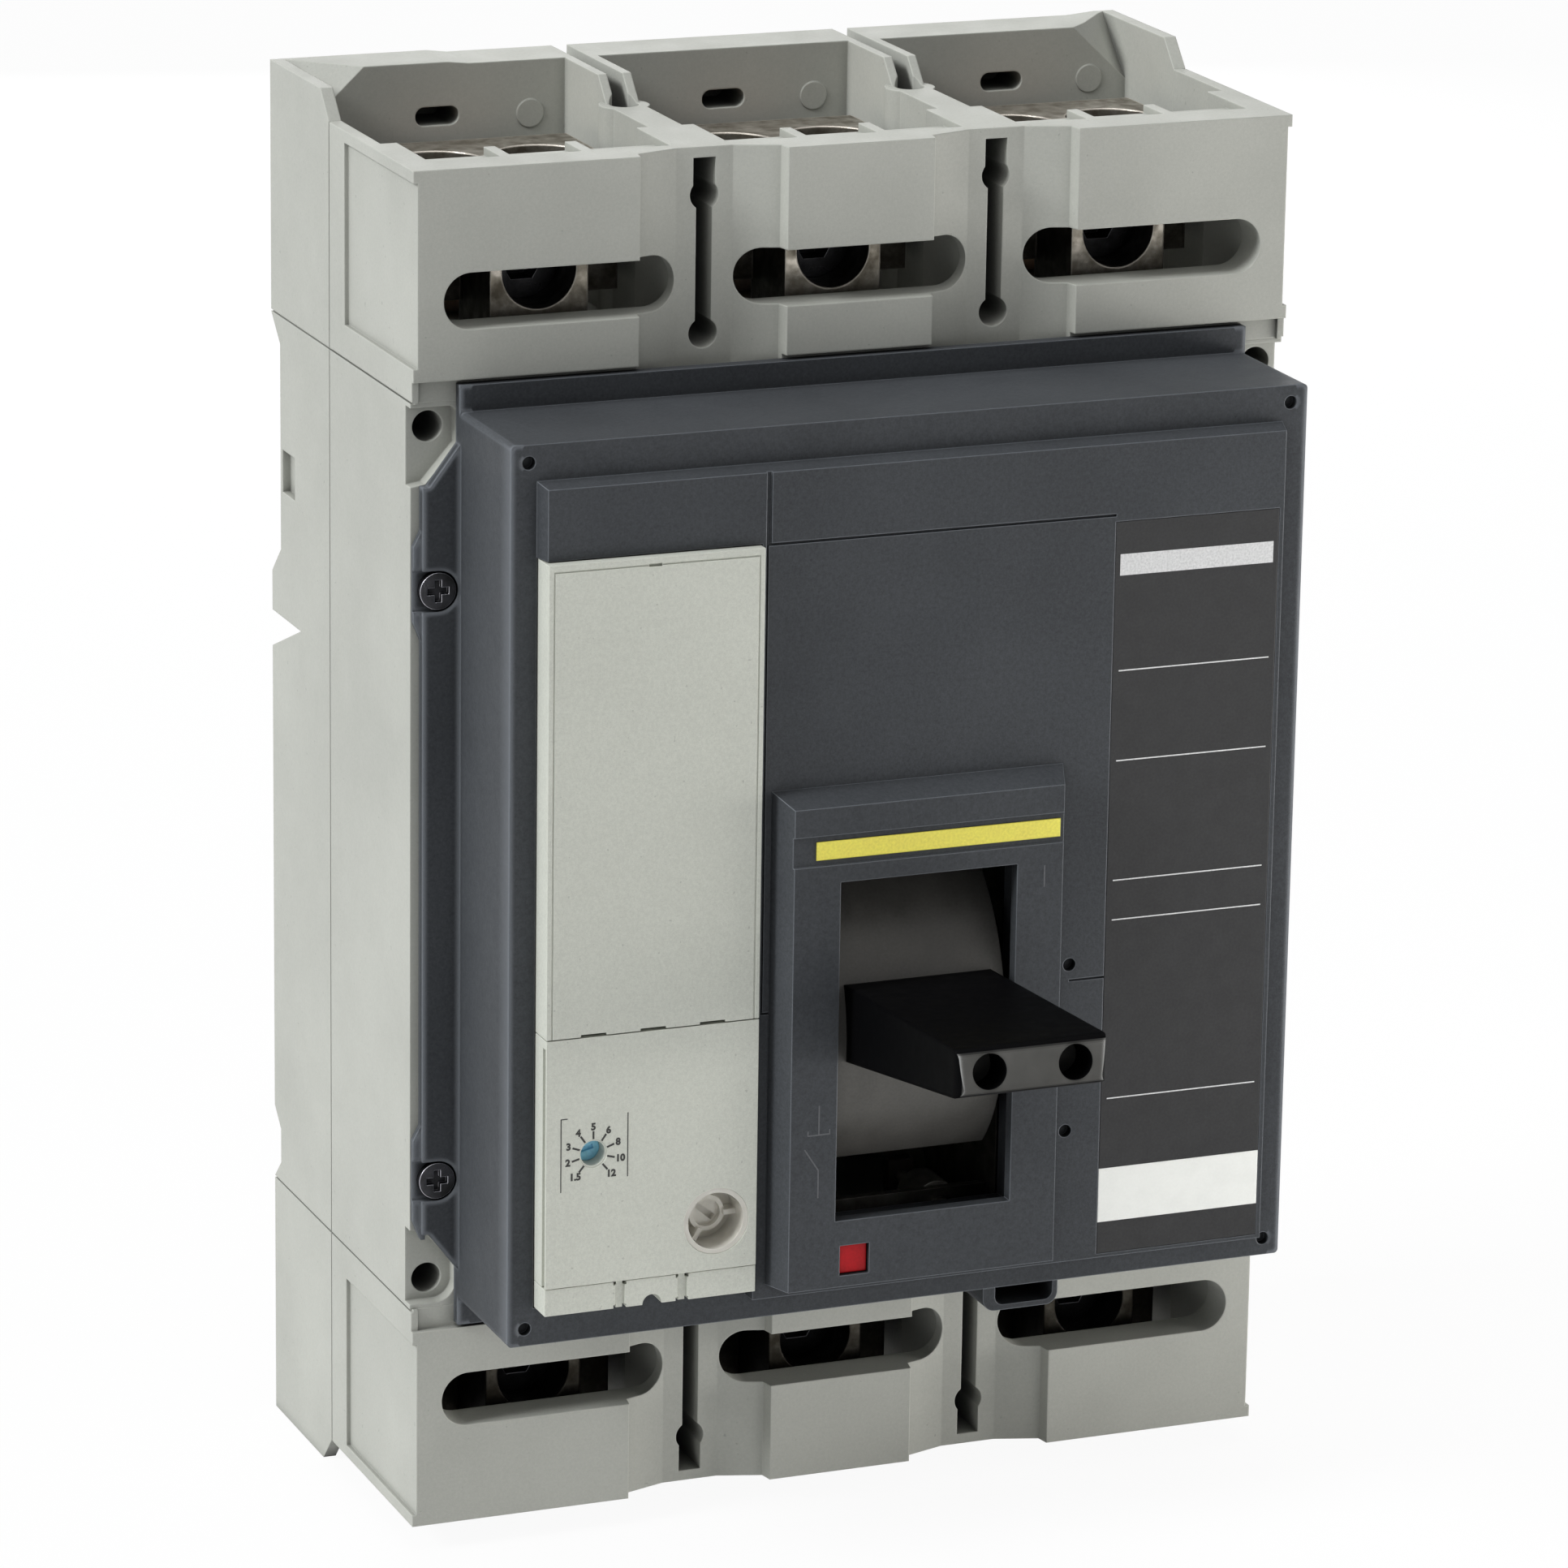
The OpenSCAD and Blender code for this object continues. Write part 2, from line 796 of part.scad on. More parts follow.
module case_screws() {
  color("dimgray")
    difference() {
      union() {
        case_screw_bores(case_screw_d, [case_head_y - 1, case_screw_l]);
        case_screw_bores(case_head_d, [case_head_y - case_head_t, case_head_y]);
      }
      for (x = webs, z = case_screw_z)
        cross_slot(x, z, case_head_d, case_head_y - case_head_t);
    }
}

// Cross recess in a screw head whose face lies at a depth.
module cross_slot(x, z, d, depth) {
  for (turn = [0, 90])
    translate([x, -depth, z])
      rotate([0, turn, 0])
        cube([d * 0.6, 2.4, d * 0.19], center = true);
}

// ---------------------------------------------------------------- cover

// Flange of the cover in (x, z): it steps around the mounting ears.
module flange_outline() {
  half = cover_w / 2;
  low = ear_low + 0.5;
  mirror_pair([1, 0])
    mirror_pair([0, 1])
      polygon([
        [0, 0], [0, seam_z + flange_h / 1.5], [half, seam_z + flange_h / 1.5],
        [half, low + ear_slope], [flange_x - 1.5, low], [flange_x, low], [flange_x, 0]
      ]);
}

// The flange swells out beside each cover screw.
module flange_bulges() {
  for (span = bulge_z)
    mirror_pair([1, 0])
      polygon([
        [flange_x - past, span[0]], [flange_x, span[0]], [flange_x + bulge_out, span[0] + 4.5],
        [flange_x + bulge_out, span[1] - 3.5], [flange_x, span[1]], [flange_x - past, span[1]]
      ]);
}

// A plate with bevelled sides and top, as two crossed profiles.
module bevelled_plate(x, z, depth, bevel) {
  intersection() {
    translate([0, 0, z[0]])
      linear_extrude(z[1] - z[0])
        polygon([
          [x[0] - bevel, -depth[0]], [x[0], -depth[1]], [x[1], -depth[1]], [x[1] + bevel, -depth[0]]
        ]);
    across([x[0] - bevel, x[1] + bevel])
      polygon([
        [-depth[0], z[0]], [-depth[1], z[0]], [-depth[1], z[1] - bevel], [-depth[0], z[1]]
      ]);
  }
}

// Shallow groove in the cover's raised front.
module front_groove(x, z) {
  block(x, [panel_face - groove_d, panel_face + past], z);
}

// The deep recess around a cover screw, open to the side.
module screw_seat(x, z) {
  side = sign(x);
  outer = side * (flange_x + bulge_out + past);
  depths = [case_front + seat_floor, case_front + flange_t + past];
  depth_bar(x, z, screw_shank_d + 0.6, [case_front - past, case_front + flange_t + past]);
  depth_bar(x, z, seat_d, depths);
  block([min(x, outer), max(x, outer)], depths, [z - seat_d / 2, z + seat_d / 2]);
}

module front_cover() {
  half = cover_w / 2;
  top = cover_h / 2;
  trip_right_edge = trip_right + fit_gap;
  color("slategray")
    difference() {
      union() {
        in_depth([case_front, cover_face])
          rounded_rect([-half, half], [-top, top], 1);
        bevelled_plate([-panel_half_w, panel_half_w], [panel_bottom, panel_top],
                       [cover_face - past, panel_face], panel_bevel);
        in_depth([case_front, case_front + flange_t])
          flange_outline();
        in_depth([case_front, case_front + bulge_t])
          flange_bulges();
      }
      in_depth([case_front - past, cover_face - cover_wall])
        rounded_rect([-half + cover_wall, half - cover_wall], [-top + cover_wall, top - cover_wall], 1);
      // Opening for the trip unit; in front of the cover's face it is open to the left.
      block([-trip_x - fit_gap, trip_right_edge], [case_front, panel_face + past],
            [-trip_bottom - fit_gap, trip_top + fit_gap]);
      block([-half, trip_right_edge], [cover_face, panel_face + past],
            [panel_bottom - past, trip_top + fit_gap]);
      // Well behind the escutcheon.
      block([-well_half, well_half], [case_front, panel_face + past], well_z);
      // Joint lines beside the header, below the top band and beside the escutcheon.
      front_groove([trip_right + 1.2, trip_right + 1.2 + groove_w], [trip_top, panel_top]);
      front_groove([trip_right + 1.2, label_x[0]], [trip_top - 0.3, trip_top + 0.3]);
      front_groove([trip_right + 1.2, trip_right + 1.7], [trip_joint_z, trip_top]);
      front_groove([trip_right + 1.2, -bezel_half], [trip_joint_z, trip_joint_z + 0.5]);
      front_groove([guide_x, label_x[0]], [trip_joint_z, trip_joint_z + 0.5]);
      // Seats of the two labels.
      block([label_x[0] - 0.1, label_x[1] + 0.1], [panel_face - label_t, panel_face + past],
            [label_z[0] - 0.1, label_z[1] + 0.1]);
      for (x = [corner_hole_inset - half, half - corner_hole_inset],
           z = [corner_hole_inset - top, top - corner_hole_inset])
        depth_bar(x, z, corner_hole_d, [cover_face - 2, cover_face + past]);
      for (z = guide_z)
        depth_bar(guide_x, z, corner_hole_d, [panel_face - 2, panel_face + past]);
      for (x = [-boss_x, boss_x], z = boss_z)
        screw_seat(x, z);
    }
}

module cover_screws() {
  head = case_front + seat_floor;
  color("darkgray")
    for (x = [-boss_x, boss_x], z = boss_z)
      difference() {
        union() {
          depth_bar(x, z, cover_screw_d, [head, head + 2]);
          depth_bar(x, z, screw_shank_d, [case_front - screw_l + 1, head + past]);
        }
        cross_slot(x, z, cover_screw_d, head + 2);
      }
}

// Hollow tab under the cover's lower edge, open to the front; its lower corner is round.
module cover_latch() {
  low = -cover_h / 2 - latch_drop;
  skin = 1.3;
  color("darkslategray")
    difference() {
      in_depth([cover_face - latch_back, cover_face])
        intersection() {
          rounded_rect(latch_x, [low, low + 4 * latch_drop], 3);
          translate([latch_x[0], low])
            square([latch_x[1] - latch_x[0], latch_drop]);
        }
      in_depth([cover_face - latch_back + 3, cover_face + past])
        rounded_rect([latch_x[0] + 3, latch_x[1] - skin], [low + skin, low + 3 * latch_drop], 2);
    }
}

module rating_label() {
  color("dimgray")
    difference() {
      block(label_x, [panel_face - label_t, panel_face], label_z);
      block([label_x[0] - past, label_x[1] + past], [panel_face - label_t - past, panel_face + past],
            white_z);
    }
}

module blank_label() {
  color("white")
    block(label_x, [panel_face - label_t, panel_face], white_z);
}

// ---------------------------------------------------------------- escutcheon

module toggle_escutcheon() {
  middle = toggle_z + 0.2;
  bore = button_w / 2 + fit_gap;
  collar = button_flange / 2 + fit_gap;
  skirt = well_half - fit_gap;
  color("darkslategray")
    difference() {
      union() {
        bevelled_plate([bezel_bevel - bezel_half, bezel_half - bezel_bevel],
                       [bezel_bottom, bezel_top], [panel_face, bezel_face], bezel_bevel);
        // Skirt that drops into the cover's well.
        block([-skirt, skirt], [cover_face - cover_wall, panel_face + past],
              [well_z[0] + fit_gap, well_z[1] - fit_gap]);
      }
      block([-opening_w / 2, opening_w / 2], [case_front, bezel_face + past],
            [middle - opening_h / 2, middle + opening_h / 2]);
      x_bar(toggle_y, toggle_z, 2 * (drum_r + drum_gap), [-opening_w / 2 - 0.4, opening_w / 2 + 0.4]);
      // Behind its thin front rim the opening is wider at the sides and at the bottom.
      block([-opening_w / 2 - bezel_undercut, opening_w / 2 + bezel_undercut],
            [case_front, bezel_face - bezel_rim],
            [middle - opening_h / 2 - bezel_undercut, middle + opening_h / 2]);
      // Shallow band across the top, where the stripe lies.
      block([-bezel_half - past, bezel_half + past], [bezel_face - band_sink, bezel_face + past], band_z);
      // Square guide of the trip button, wider behind for its collar.
      block([button_x - bore, button_x + bore], [button_seat, bezel_face + past],
            [button_z - bore, button_z + bore]);
      block([button_x - collar, button_x + collar], [case_front, button_seat + 0.6],
            [button_z - collar, button_z + collar]);
    }
}

module accent_stripe() {
  middle = (band_z[0] + band_z[1]) / 2;
  color("gold")
    block(stripe_x, [bezel_face - band_sink, bezel_face - band_sink + stripe_t],
          [middle - stripe_h / 2, middle + stripe_h / 2]);
}

// ---------------------------------------------------------------- trip unit

// Fine bead along the edges of the trip unit's face.
module face_bead(x, z) {
  depths = [trip_face - 0.25, trip_face + past];
  difference() {
    block(x, depths, z);
    block([x[0] + bead_w, x[1] - bead_w], [trip_face - past, trip_face + 2 * past],
          [z[0] - past, z[1] - bead_w]);
  }
}

module trip_unit_housing() {
  tray_face = panel_face - plug_t;
  color("beige")
    difference() {
      union() {
        // Upper box, open at the back.
        difference() {
          block([-trip_x, trip_right], [trip_back, trip_face], [trip_joint_z + joint_gap, trip_top]);
          block([-trip_x + trip_wall, trip_right - trip_wall], [trip_back - past, trip_face - trip_wall],
                [trip_joint_z + joint_gap + trip_wall, trip_top - trip_wall]);
        }
        // Tray behind the lower cover.
        difference() {
          block([-trip_x, trip_right], [trip_back, tray_face],
                [-trip_bottom, trip_joint_z + joint_gap + past]);
          block([-trip_x + trip_wall, trip_right - trip_wall], [trip_back - past, tray_face - trip_wall],
                [-trip_bottom + trip_wall, trip_joint_z - trip_wall]);
        }
        for (x = [board_posts[0] - trip_x, trip_right - board_posts[0]],
             z = [trip_joint_z + board_posts[1], trip_top - board_posts[1]])
          depth_bar(x, z, 5, [board_y + board_t, trip_face - 1]);
      }
      face_bead([-trip_x + 1, trip_right - 1], [trip_joint_z - past, trip_top - 1.4]);
      block([top_slot_x[0] - trip_x, top_slot_x[1] - trip_x], [trip_face - 0.8, trip_face + past],
            [trip_top - 2, trip_top - 1.3]);
      for (x = vent_x)
        block([x - trip_x, x + vent_w - trip_x], [trip_face - 1.5, trip_face + past],
              [trip_joint_z, trip_joint_z + vent_h]);
      depth_bar(dial_x, dial_z, dial_stem + 2 * run_gap, [tray_face - trip_wall - past, tray_face + past]);
      depth_bar(fastener_x, fastener_z, fastener_d + 2 * run_gap,
                [tray_face - trip_wall - past, tray_face + past]);
    }
}

module trip_unit_cover() {
  back = panel_face - plug_t;
  color("wheat")
    difference() {
      union() {
        difference() {
          block([-trip_x, trip_right], [back, trip_face], [plug_z + 0.2, trip_joint_z]);
          block([-trip_x + trip_wall, trip_right - trip_wall], [back - past, trip_face - trip_wall],
                [plug_z + 0.2 + trip_wall, trip_joint_z - trip_wall]);
        }
        // Sleeve round the sunk dial.
        depth_bar(dial_x, dial_z, dial_d + 4, [trip_face - dial_sink - 0.5, trip_face - 1]);
      }
      // Hinge groove along the left front edge.
      block([-trip_x - past, -trip_x + 0.8], [trip_face - 2.4, trip_face - 0.6], [plug_z, trip_joint_z - 2]);
      depth_bar(dial_x, dial_z, dial_d + 2 * run_gap, [back, trip_face + past]);
      depth_bar(dial_x, dial_z, dial_d + 1, [trip_face - 0.3, trip_face + past]);
      depth_bar(fastener_x, fastener_z, fastener_d + 2 * run_gap, [back, trip_face + past]);
    }
}

module rating_plug() {
  color("burlywood")
    difference() {
      block([-trip_x, trip_right], [panel_face - plug_t, trip_face - 0.2], [-trip_bottom, plug_z]);
      for (slot = plug_slots) {
        x = [slot[0] - trip_x, slot[1] - trip_x];
        block(x, [trip_face - 0.8, trip_face + past], [-trip_bottom - past, plug_z + past]);
        // Small pits at the slot's four corners.
        for (edge = x, z = [-trip_bottom, plug_z])
          block([edge - plug_pit / 2, edge + plug_pit / 2], [trip_face - 3, trip_face + past],
                [z - plug_pit, z + plug_pit]);
      }
      depth_bar(plug_notch[0] - trip_x, -trip_bottom, plug_notch[1],
                [panel_face - plug_t - past, trip_face + past]);
    }
}

// Slotted dial with a collar behind the cover and a stem into the tray.
module setting_dial() {
  face = trip_face - dial_sink;
  color("dodgerblue")
    difference() {
      union() {
        depth_bar(dial_x, dial_z, dial_d, [trip_face - 6, face]);
        depth_bar(dial_x, dial_z, dial_collar, [trip_face - 7, trip_face - trip_wall - 3]);
        depth_bar(dial_x, dial_z, dial_stem, [trip_face - dial_l, trip_face - 6]);
      }
      translate([dial_x, -face, dial_z])
        rotate([0, dial_rest, 0])
          translate([-0.5, -0.8, -dial_d / 4])
            cube([1, 1.6, dial_d]);
    }
}

// Clear cup with a small slotted core at its bottom.
module cover_fastener() {
  back = trip_face - fastener_l;
  color("lightcyan")
    difference() {
      union() {
        difference() {
          depth_bar(fastener_x, fastener_z, fastener_d, [back, trip_face - 0.2]);
          depth_bar(fastener_x, fastener_z, fastener_d - 2 * fastener_wall, [back + 1.5, trip_face + past]);
        }
        difference() {
          depth_bar(fastener_x, fastener_z, fastener_core, [back + 1, back + 4]);
          depth_bar(fastener_x, fastener_z, fastener_core - 2, [back + 2.5, back + 5]);
        }
        for (turn = [0:120:240])
          translate([fastener_x, -back - 1, fastener_z])
            rotate([0, turn, 0])
              translate([fastener_core / 2 - 0.5, -4, -0.6])
                cube([(fastener_d - fastener_core) / 2, 4, 1.2]);
      }
      translate([fastener_x, -back - 2, fastener_z])
        rotate([0, 40, 0])
          cube([fastener_core - 3, 2, 1.4], center = true);
    }
}

module circuit_board() {
  color("darkgreen")
    block([-trip_x + 6, trip_right - 6], [board_y, board_y + board_t],
          [trip_joint_z + 8, trip_top - 6]);
  color("dimgray")
    for (x = chip_x, z = chip_z)
      block([x - trip_x, x - trip_x + chip_w], [board_y - 3, board_y], [z - 1.5 * chip_w, z]);
}

// Solenoid that trips the mechanism: its plunger pushes the trip bar's second lever.
module trip_actuator() {
  color("darkgray")
    union() {
      depth_bar(-button_x, actuator_z, 11, [rail_y - 10, rail_y]);
      depth_bar(-button_x, actuator_z, 5, [rail_y - 1, rail_y + rail_t + 2]);
      depth_bar(-button_x, actuator_z, 3, [button_back + fit_gap, rail_y - 9]);
    }
}

// ---------------------------------------------------------------- toggle

// A point on a circle about the toggle axis; the angle is measured up from the handle.
function toggle_point(r, angle) = [-r * cos(angle), r * sin(angle)];

// Shell of the drum in side view, about the toggle axis.
module drum_sector() {
  far = 2 * drum_r;
  intersection() {
    difference() {
      circle(drum_r);
      circle(drum_r - drum_t);
    }
    polygon([[0, 0], toggle_point(far, drum_from), toggle_point(far, 0), toggle_point(far, drum_to)]);
  }
}

// Side cheek that joins the drum's shell to its hub.
module cheek() {
  far = 2 * drum_r;
  difference() {
    union() {
      circle(d = hub_d);
      intersection() {
        circle(drum_r - drum_t / 2);
        polygon([
          [0, 0], toggle_point(far, drum_from + cheek_margin), toggle_point(far, 0),
          toggle_point(far, drum_to - cheek_margin)
        ]);
      }
    }
    circle(d = pivot_d + 2 * run_gap);
  }
}

// Places a profile drawn about the toggle axis at the handle's stored angle.
module at_toggle(x) {
  translate([x[0], -toggle_y, toggle_z])
    rotate([90, 0, 90])
      linear_extrude(x[1] - x[0])
        rotate(-handle_rest)
          children();
}

module toggle_drum() {
  color("dimgray")
    difference() {
      union() {
        at_toggle([-drum_w / 2, drum_w / 2])
          drum_sector();
        for (x = [-drum_w / 2, drum_w / 2 - cheek_t])
          at_toggle([x, x + cheek_t])
            cheek();
      }
      at_toggle([-tang_w / 2 - 0.1, tang_w / 2 + 0.1])
        translate([-drum_r - past, -tang_t / 2 - 0.1])
          square([drum_t + 2 * past, tang_t + 0.2]);
    }
}

// Side view of the grip: it tapers to the tip, and both tip corners are round.
module grip_side() {
  tip = handle_reach - handle_round;
  hull() {
    for (side = [-1, 1])
      translate([-tip, side * (handle_tip / 2 - handle_round)])
        circle(handle_round, $fn = 32);
    translate([-drum_r + 2, -handle_root / 2])
      square([1, handle_root]);
  }
}

module toggle_handle() {
  color("black")
    difference() {
      union() {
        intersection() {
          at_toggle([-handle_w / 2, handle_w / 2])
            difference() {
              grip_side();
              circle(drum_r);
            }
          // Plan view, with round tip corners.
          translate([0, -toggle_y, toggle_z - handle_reach])
            linear_extrude(2 * handle_reach)
              rounded_rect([-handle_w / 2, handle_w / 2], [-handle_reach, 0], 3);
        }
        at_toggle([-tang_w / 2, tang_w / 2])
          translate([-drum_r - 1, -tang_t / 2])
            square([drum_r + 1 - tang_r, tang_t]);
      }
      lift(toggle_y, toggle_z, handle_rest)
        for (x = [-tip_hole_x, tip_hole_x])
          depth_bar(x, toggle_z, tip_hole_d,
                    [toggle_y + handle_reach - tip_hole_depth, toggle_y + handle_reach + past]);
    }
}

// Steel yoke inside the drum: two legs on the pin, a bridge that carries the grip's tang,
// and a bar for the inner ends of the springs.
module toggle_yoke() {
  color("silver")
    difference() {
      union() {
        for (x = [-yoke_half, yoke_half - yoke_t])
          at_toggle([x, x + yoke_t])
            union() {
              circle(d = hub_d - 3);
              translate([-tang_r, -yoke_w / 2])
                square([tang_r, yoke_w]);
            }
        at_toggle([-yoke_half, yoke_half])
          translate([-tang_r, -yoke_w / 2])
            square([yoke_t, yoke_w]);
        at_toggle([-yoke_half, yoke_half])
          translate([-spring_bar_r, 0])
            circle(d = 3);
      }
      x_bar(toggle_y, toggle_z, pivot_d + 2 * run_gap, [-half_w, half_w]);
    }
}

module toggle_springs() {
  length = tang_r - yoke_t - spring_bar_r - 1.5 - 1.6;
  color("darkgray")
    lift(toggle_y, toggle_z, handle_rest)
      for (x = [-7, 7])
        translate([x, -toggle_y - tang_r + yoke_t + 0.8, toggle_z])
          rotate([-90, 0, 0])
            coil(3, 1.2, length, 6);
}

module toggle_pivot_pin() {
  color("silver")
    x_bar(toggle_y, toggle_z, pivot_d, [0.1 - frame_x - frame_t, frame_x + frame_t - 0.1]);
}

// ---------------------------------------------------------------- trip button and bar

module trip_button() {
  half = button_w / 2;
  stem = button_stem / 2;
  flange = button_flange / 2;
  color("crimson")
    union() {
      block([button_x - half, button_x + half], [button_seat, bezel_face - button_out],
            [button_z - half, button_z + half]);
      block([button_x - flange, button_x + flange], [button_seat - 2, button_seat + 0.5],
            [button_z - flange, button_z + flange]);
      block([button_x - stem, button_x + stem], [button_back, button_seat - 1],
            [button_z - stem, button_z + stem]);
    }
}

module button_spring() {
  from = button_seat - 2 - spring_wire / 2;
  to = rail_y + rail_t + spring_wire / 2;
  color("lightgray")
    translate([button_x, -from, button_z])
      rotate([-90, 0, 0])
        coil(3.3, spring_wire, from - to, 6);
}

module trip_bar() {
  color("khaki")
    union() {
      x_bar(trip_bar_y, trip_bar_z, trip_bar_d, [-frame_x - frame_t, frame_x + frame_t]);
      for (x = [button_x, -button_x])
        block([x - lever_w / 2, x + lever_w / 2],
              [button_back - 0.1 - lever_t, button_back - 0.1],
              [trip_bar_z, button_z + 3]);
    }
}

// Two side plates tied by spacers; the crossbar, the toggle pin and the trip bar turn in them.
module mechanism_frame() {
  // The plates' lower front edge slopes back, clear of the cover.
  plate_low = trip_bar_z - trip_bar_d / 2 - 0.8;
  toe = 1;
  color("lightsteelblue")
    difference() {
      union() {
        for (x = [-frame_x - frame_t, frame_x])
          across([x, x + frame_t])
            polygon([
              [-frame_back, crossbar_z - 18], [-frame_back, crossbar_z + 16],
              [-crossbar_y - 14, crossbar_z + 22], [-case_front - 4, 0],
              [-frame_front, toggle_z + 16], [-frame_front, button_z - 4],
              [-case_front - toe, plate_low + toe], [2 * toe - case_front, plate_low],
              [-trip_bar_y + 8, plate_low],
              [-trip_bar_y + 8, trip_bar_z + 6]
            ]);
        for (p = spacers)
          x_bar(p[0], p[1], 6, [-frame_x - 0.5, frame_x + 0.5]);
        // Rail between the plates that seats the button spring and the actuator.
        block([-frame_x - 0.5, frame_x + 0.5], [rail_y, rail_y + rail_t],
              [button_z - 7, button_z + 3.6]);
      }
      block([button_x - button_stem / 2 - fit_gap, button_x + button_stem / 2 + fit_gap],
            [rail_y - past, rail_y + rail_t + past],
            [button_z - button_stem / 2 - fit_gap, button_z + button_stem / 2 + fit_gap]);
      depth_bar(-button_x, actuator_z, 5, [rail_y - past, rail_y + rail_t + past]);
      x_bar(crossbar_y, crossbar_z, crossbar_d + 2 * run_gap, [-half_w, half_w]);
      x_bar(toggle_y, toggle_z, pivot_d, [-half_w, half_w]);
      x_bar(trip_bar_y, trip_bar_z, trip_bar_d + 2 * run_gap, [-half_w, half_w]);
    }
}

// ---------------------------------------------------------------- contacts

module contact_crossbar() {
  half = pole_pitch + arm_w / 2 + 8;
  color("saddlebrown")
    x_bar(crossbar_y, crossbar_z, crossbar_d, [-half, half]);
}

// An arm is drawn closed and then turned open.
module moving_contact(pole) {
  tip_z = crossbar_z + arm_reach;
  arm_back = strap_y + strap_t + 2 * pad_t;
  color("peru")
    lift(crossbar_y, crossbar_z, -contact_open)
      difference() {
        union() {
          x_bar(crossbar_y, crossbar_z, crossbar_d + 8, [pole - arm_w / 2, pole + arm_w / 2]);
          across([pole - arm_w / 2, pole + arm_w / 2])
            polygon([
              [-crossbar_y - 8, crossbar_z + 10], [-crossbar_y + 14, crossbar_z + 6],
              [-arm_back, tip_z - 15], [-arm_back, tip_z], [-arm_back - arm_t + 2, tip_z],
              [-arm_back - arm_t, tip_z - 14]
            ]);
          depth_bar(pole, tip_z - 8, pad_d, [arm_back - pad_t, arm_back + 1]);
        }
        x_bar(crossbar_y, crossbar_z, crossbar_d, [-half_w, half_w]);
      }
}

module line_terminal(pole) {
  contact_z = crossbar_z + arm_reach - 8;
  color("peru")
    union() {
      block([pole - strap_w / 2, pole + strap_w / 2], [strap_y, strap_y + strap_t],
            [contact_z - 8, lug_top - 4]);
      depth_bar(pole, contact_z, pad_d, [strap_y + strap_t - past, strap_y + strap_t + pad_t]);
    }
}

// The load strap ends in a fork whose two rings close around the crossbar, beside the arm.
module load_terminal(pole) {
  color("peru")
    union() {
      block([pole - strap_w / 2, pole + strap_w / 2], [strap_y, strap_y + strap_t],
            [4 - lug_top, load_top]);
      for (side = [-1, 1])
        difference() {
          near = pole + side * (arm_w / 2 + fork_gap + fork_t / 2);
          across([near - fork_t / 2, near + fork_t / 2])
            difference() {
              union() {
                translate([-crossbar_y, crossbar_z])
                  circle(d = crossbar_d + 8);
                translate([-crossbar_y, load_top - 14])
                  square([crossbar_y - strap_y - past, 14]);
              }
              translate([-crossbar_y, crossbar_z])
                circle(d = crossbar_d + 2 * fork_gap);
            }
        }
    }
}

// Slotted quenching plates held between two side boards.
module arc_chute(pole) {
  pitch = (chute_z[1] - chute_z[0] - plate_t) / (chute_plates - 1);
  color("gray")
    union() {
      for (side = [-1, 1])
        translate([pole, 0, 0])
          block([side * chute_half - 1, side * chute_half + 1], [chute_back, chute_front], chute_z);
      for (i = [0:chute_plates - 1])
        translate([pole, 0, chute_z[0] + i * pitch])
          linear_extrude(plate_t)
            difference() {
              translate([-chute_half, -chute_front + 1])
                square([2 * chute_half, chute_front - chute_back - 2]);
              polygon([[-8, -chute_back], [-2, -chute_back - 24], [2, -chute_back - 24], [8, -chute_back]]);
            }
    }
}

module current_transformer(pole) {
  color("darkolivegreen")
    difference() {
      block([pole - ct_half, pole + ct_half], [ct_back, ct_front], ct_z);
      block([pole - strap_w / 2 - 1, pole + strap_w / 2 + 1], [strap_y - 1, strap_y + strap_t + 1],
            [ct_z[0] - past, ct_z[1] + past]);
    }
}

// ---------------------------------------------------------------- lugs

// Body with two wire holes, and a tower in front that carries the clamping screw.
module lug(pole) {
  color("silver")
    difference() {
      union() {
        block([pole - lug_w / 2, pole + lug_w / 2], [lug_back, lug_front], [lug_bottom, lug_top]);
        block([pole - tower_w / 2, pole + tower_w / 2], [lug_front - past, tower_front], tower_z);
      }
      for (x = [-wire_x, wire_x])
        translate([pole + x, -wire_y, lug_bottom - past])
          cylinder(d = wire_d, h = lug_h + 2 * past);
      depth_bar(pole, lug_screw_z, lug_screw_d, [lug_screw_floor, tower_front + past]);
    }
}

// Clamping screws, backed out so that the wire holes are free.
module lug_screws() {
  for (pole = poles)
    difference() {
      depth_bar(pole, lug_screw_z, lug_screw_d, lug_screw_y);
      translate([pole, -lug_screw_y[1] - past, lug_screw_z])
        rotate([-90, 0, 0])
          cylinder(d = lug_hex, h = 6 + past, $fn = 6);
    }
}

module line_lug_screws() {
  color("gray")
    lug_screws();
}

module load_lug_screws() {
  color("gray")
    mirror([0, 0, 1])
      lug_screws();
}

// ---------------------------------------------------------------- the model

rear_base();
mid_case();
line_terminal_block();
load_terminal_block();
case_screws();
front_cover();
cover_screws();
cover_latch();
toggle_escutcheon();
accent_stripe();
rating_label();
blank_label();
trip_unit_housing();
trip_unit_cover();
rating_plug();
setting_dial();
cover_fastener();
circuit_board();
trip_actuator();
toggle_handle();
toggle_drum();
toggle_yoke();
toggle_springs();
toggle_pivot_pin();
trip_button();
button_spring();
trip_bar();
mechanism_frame();
contact_crossbar();
moving_contact(poles[0]);  // moving_contact_a
moving_contact(poles[1]);  // moving_contact_b
moving_contact(poles[2]);  // moving_contact_c
line_terminal(poles[0]);  // line_terminal_a
line_terminal(poles[1]);  // line_terminal_b
line_terminal(poles[2]);  // line_terminal_c
load_terminal(poles[0]);  // load_terminal_a
load_terminal(poles[1]);  // load_terminal_b
load_terminal(poles[2]);  // load_terminal_c
lug(poles[0]);  // line_lug_a
lug(poles[1]);  // line_lug_b
lug(poles[2]);  // line_lug_c
mirror([0, 0, 1]) lug(poles[0]);  // load_lug_a
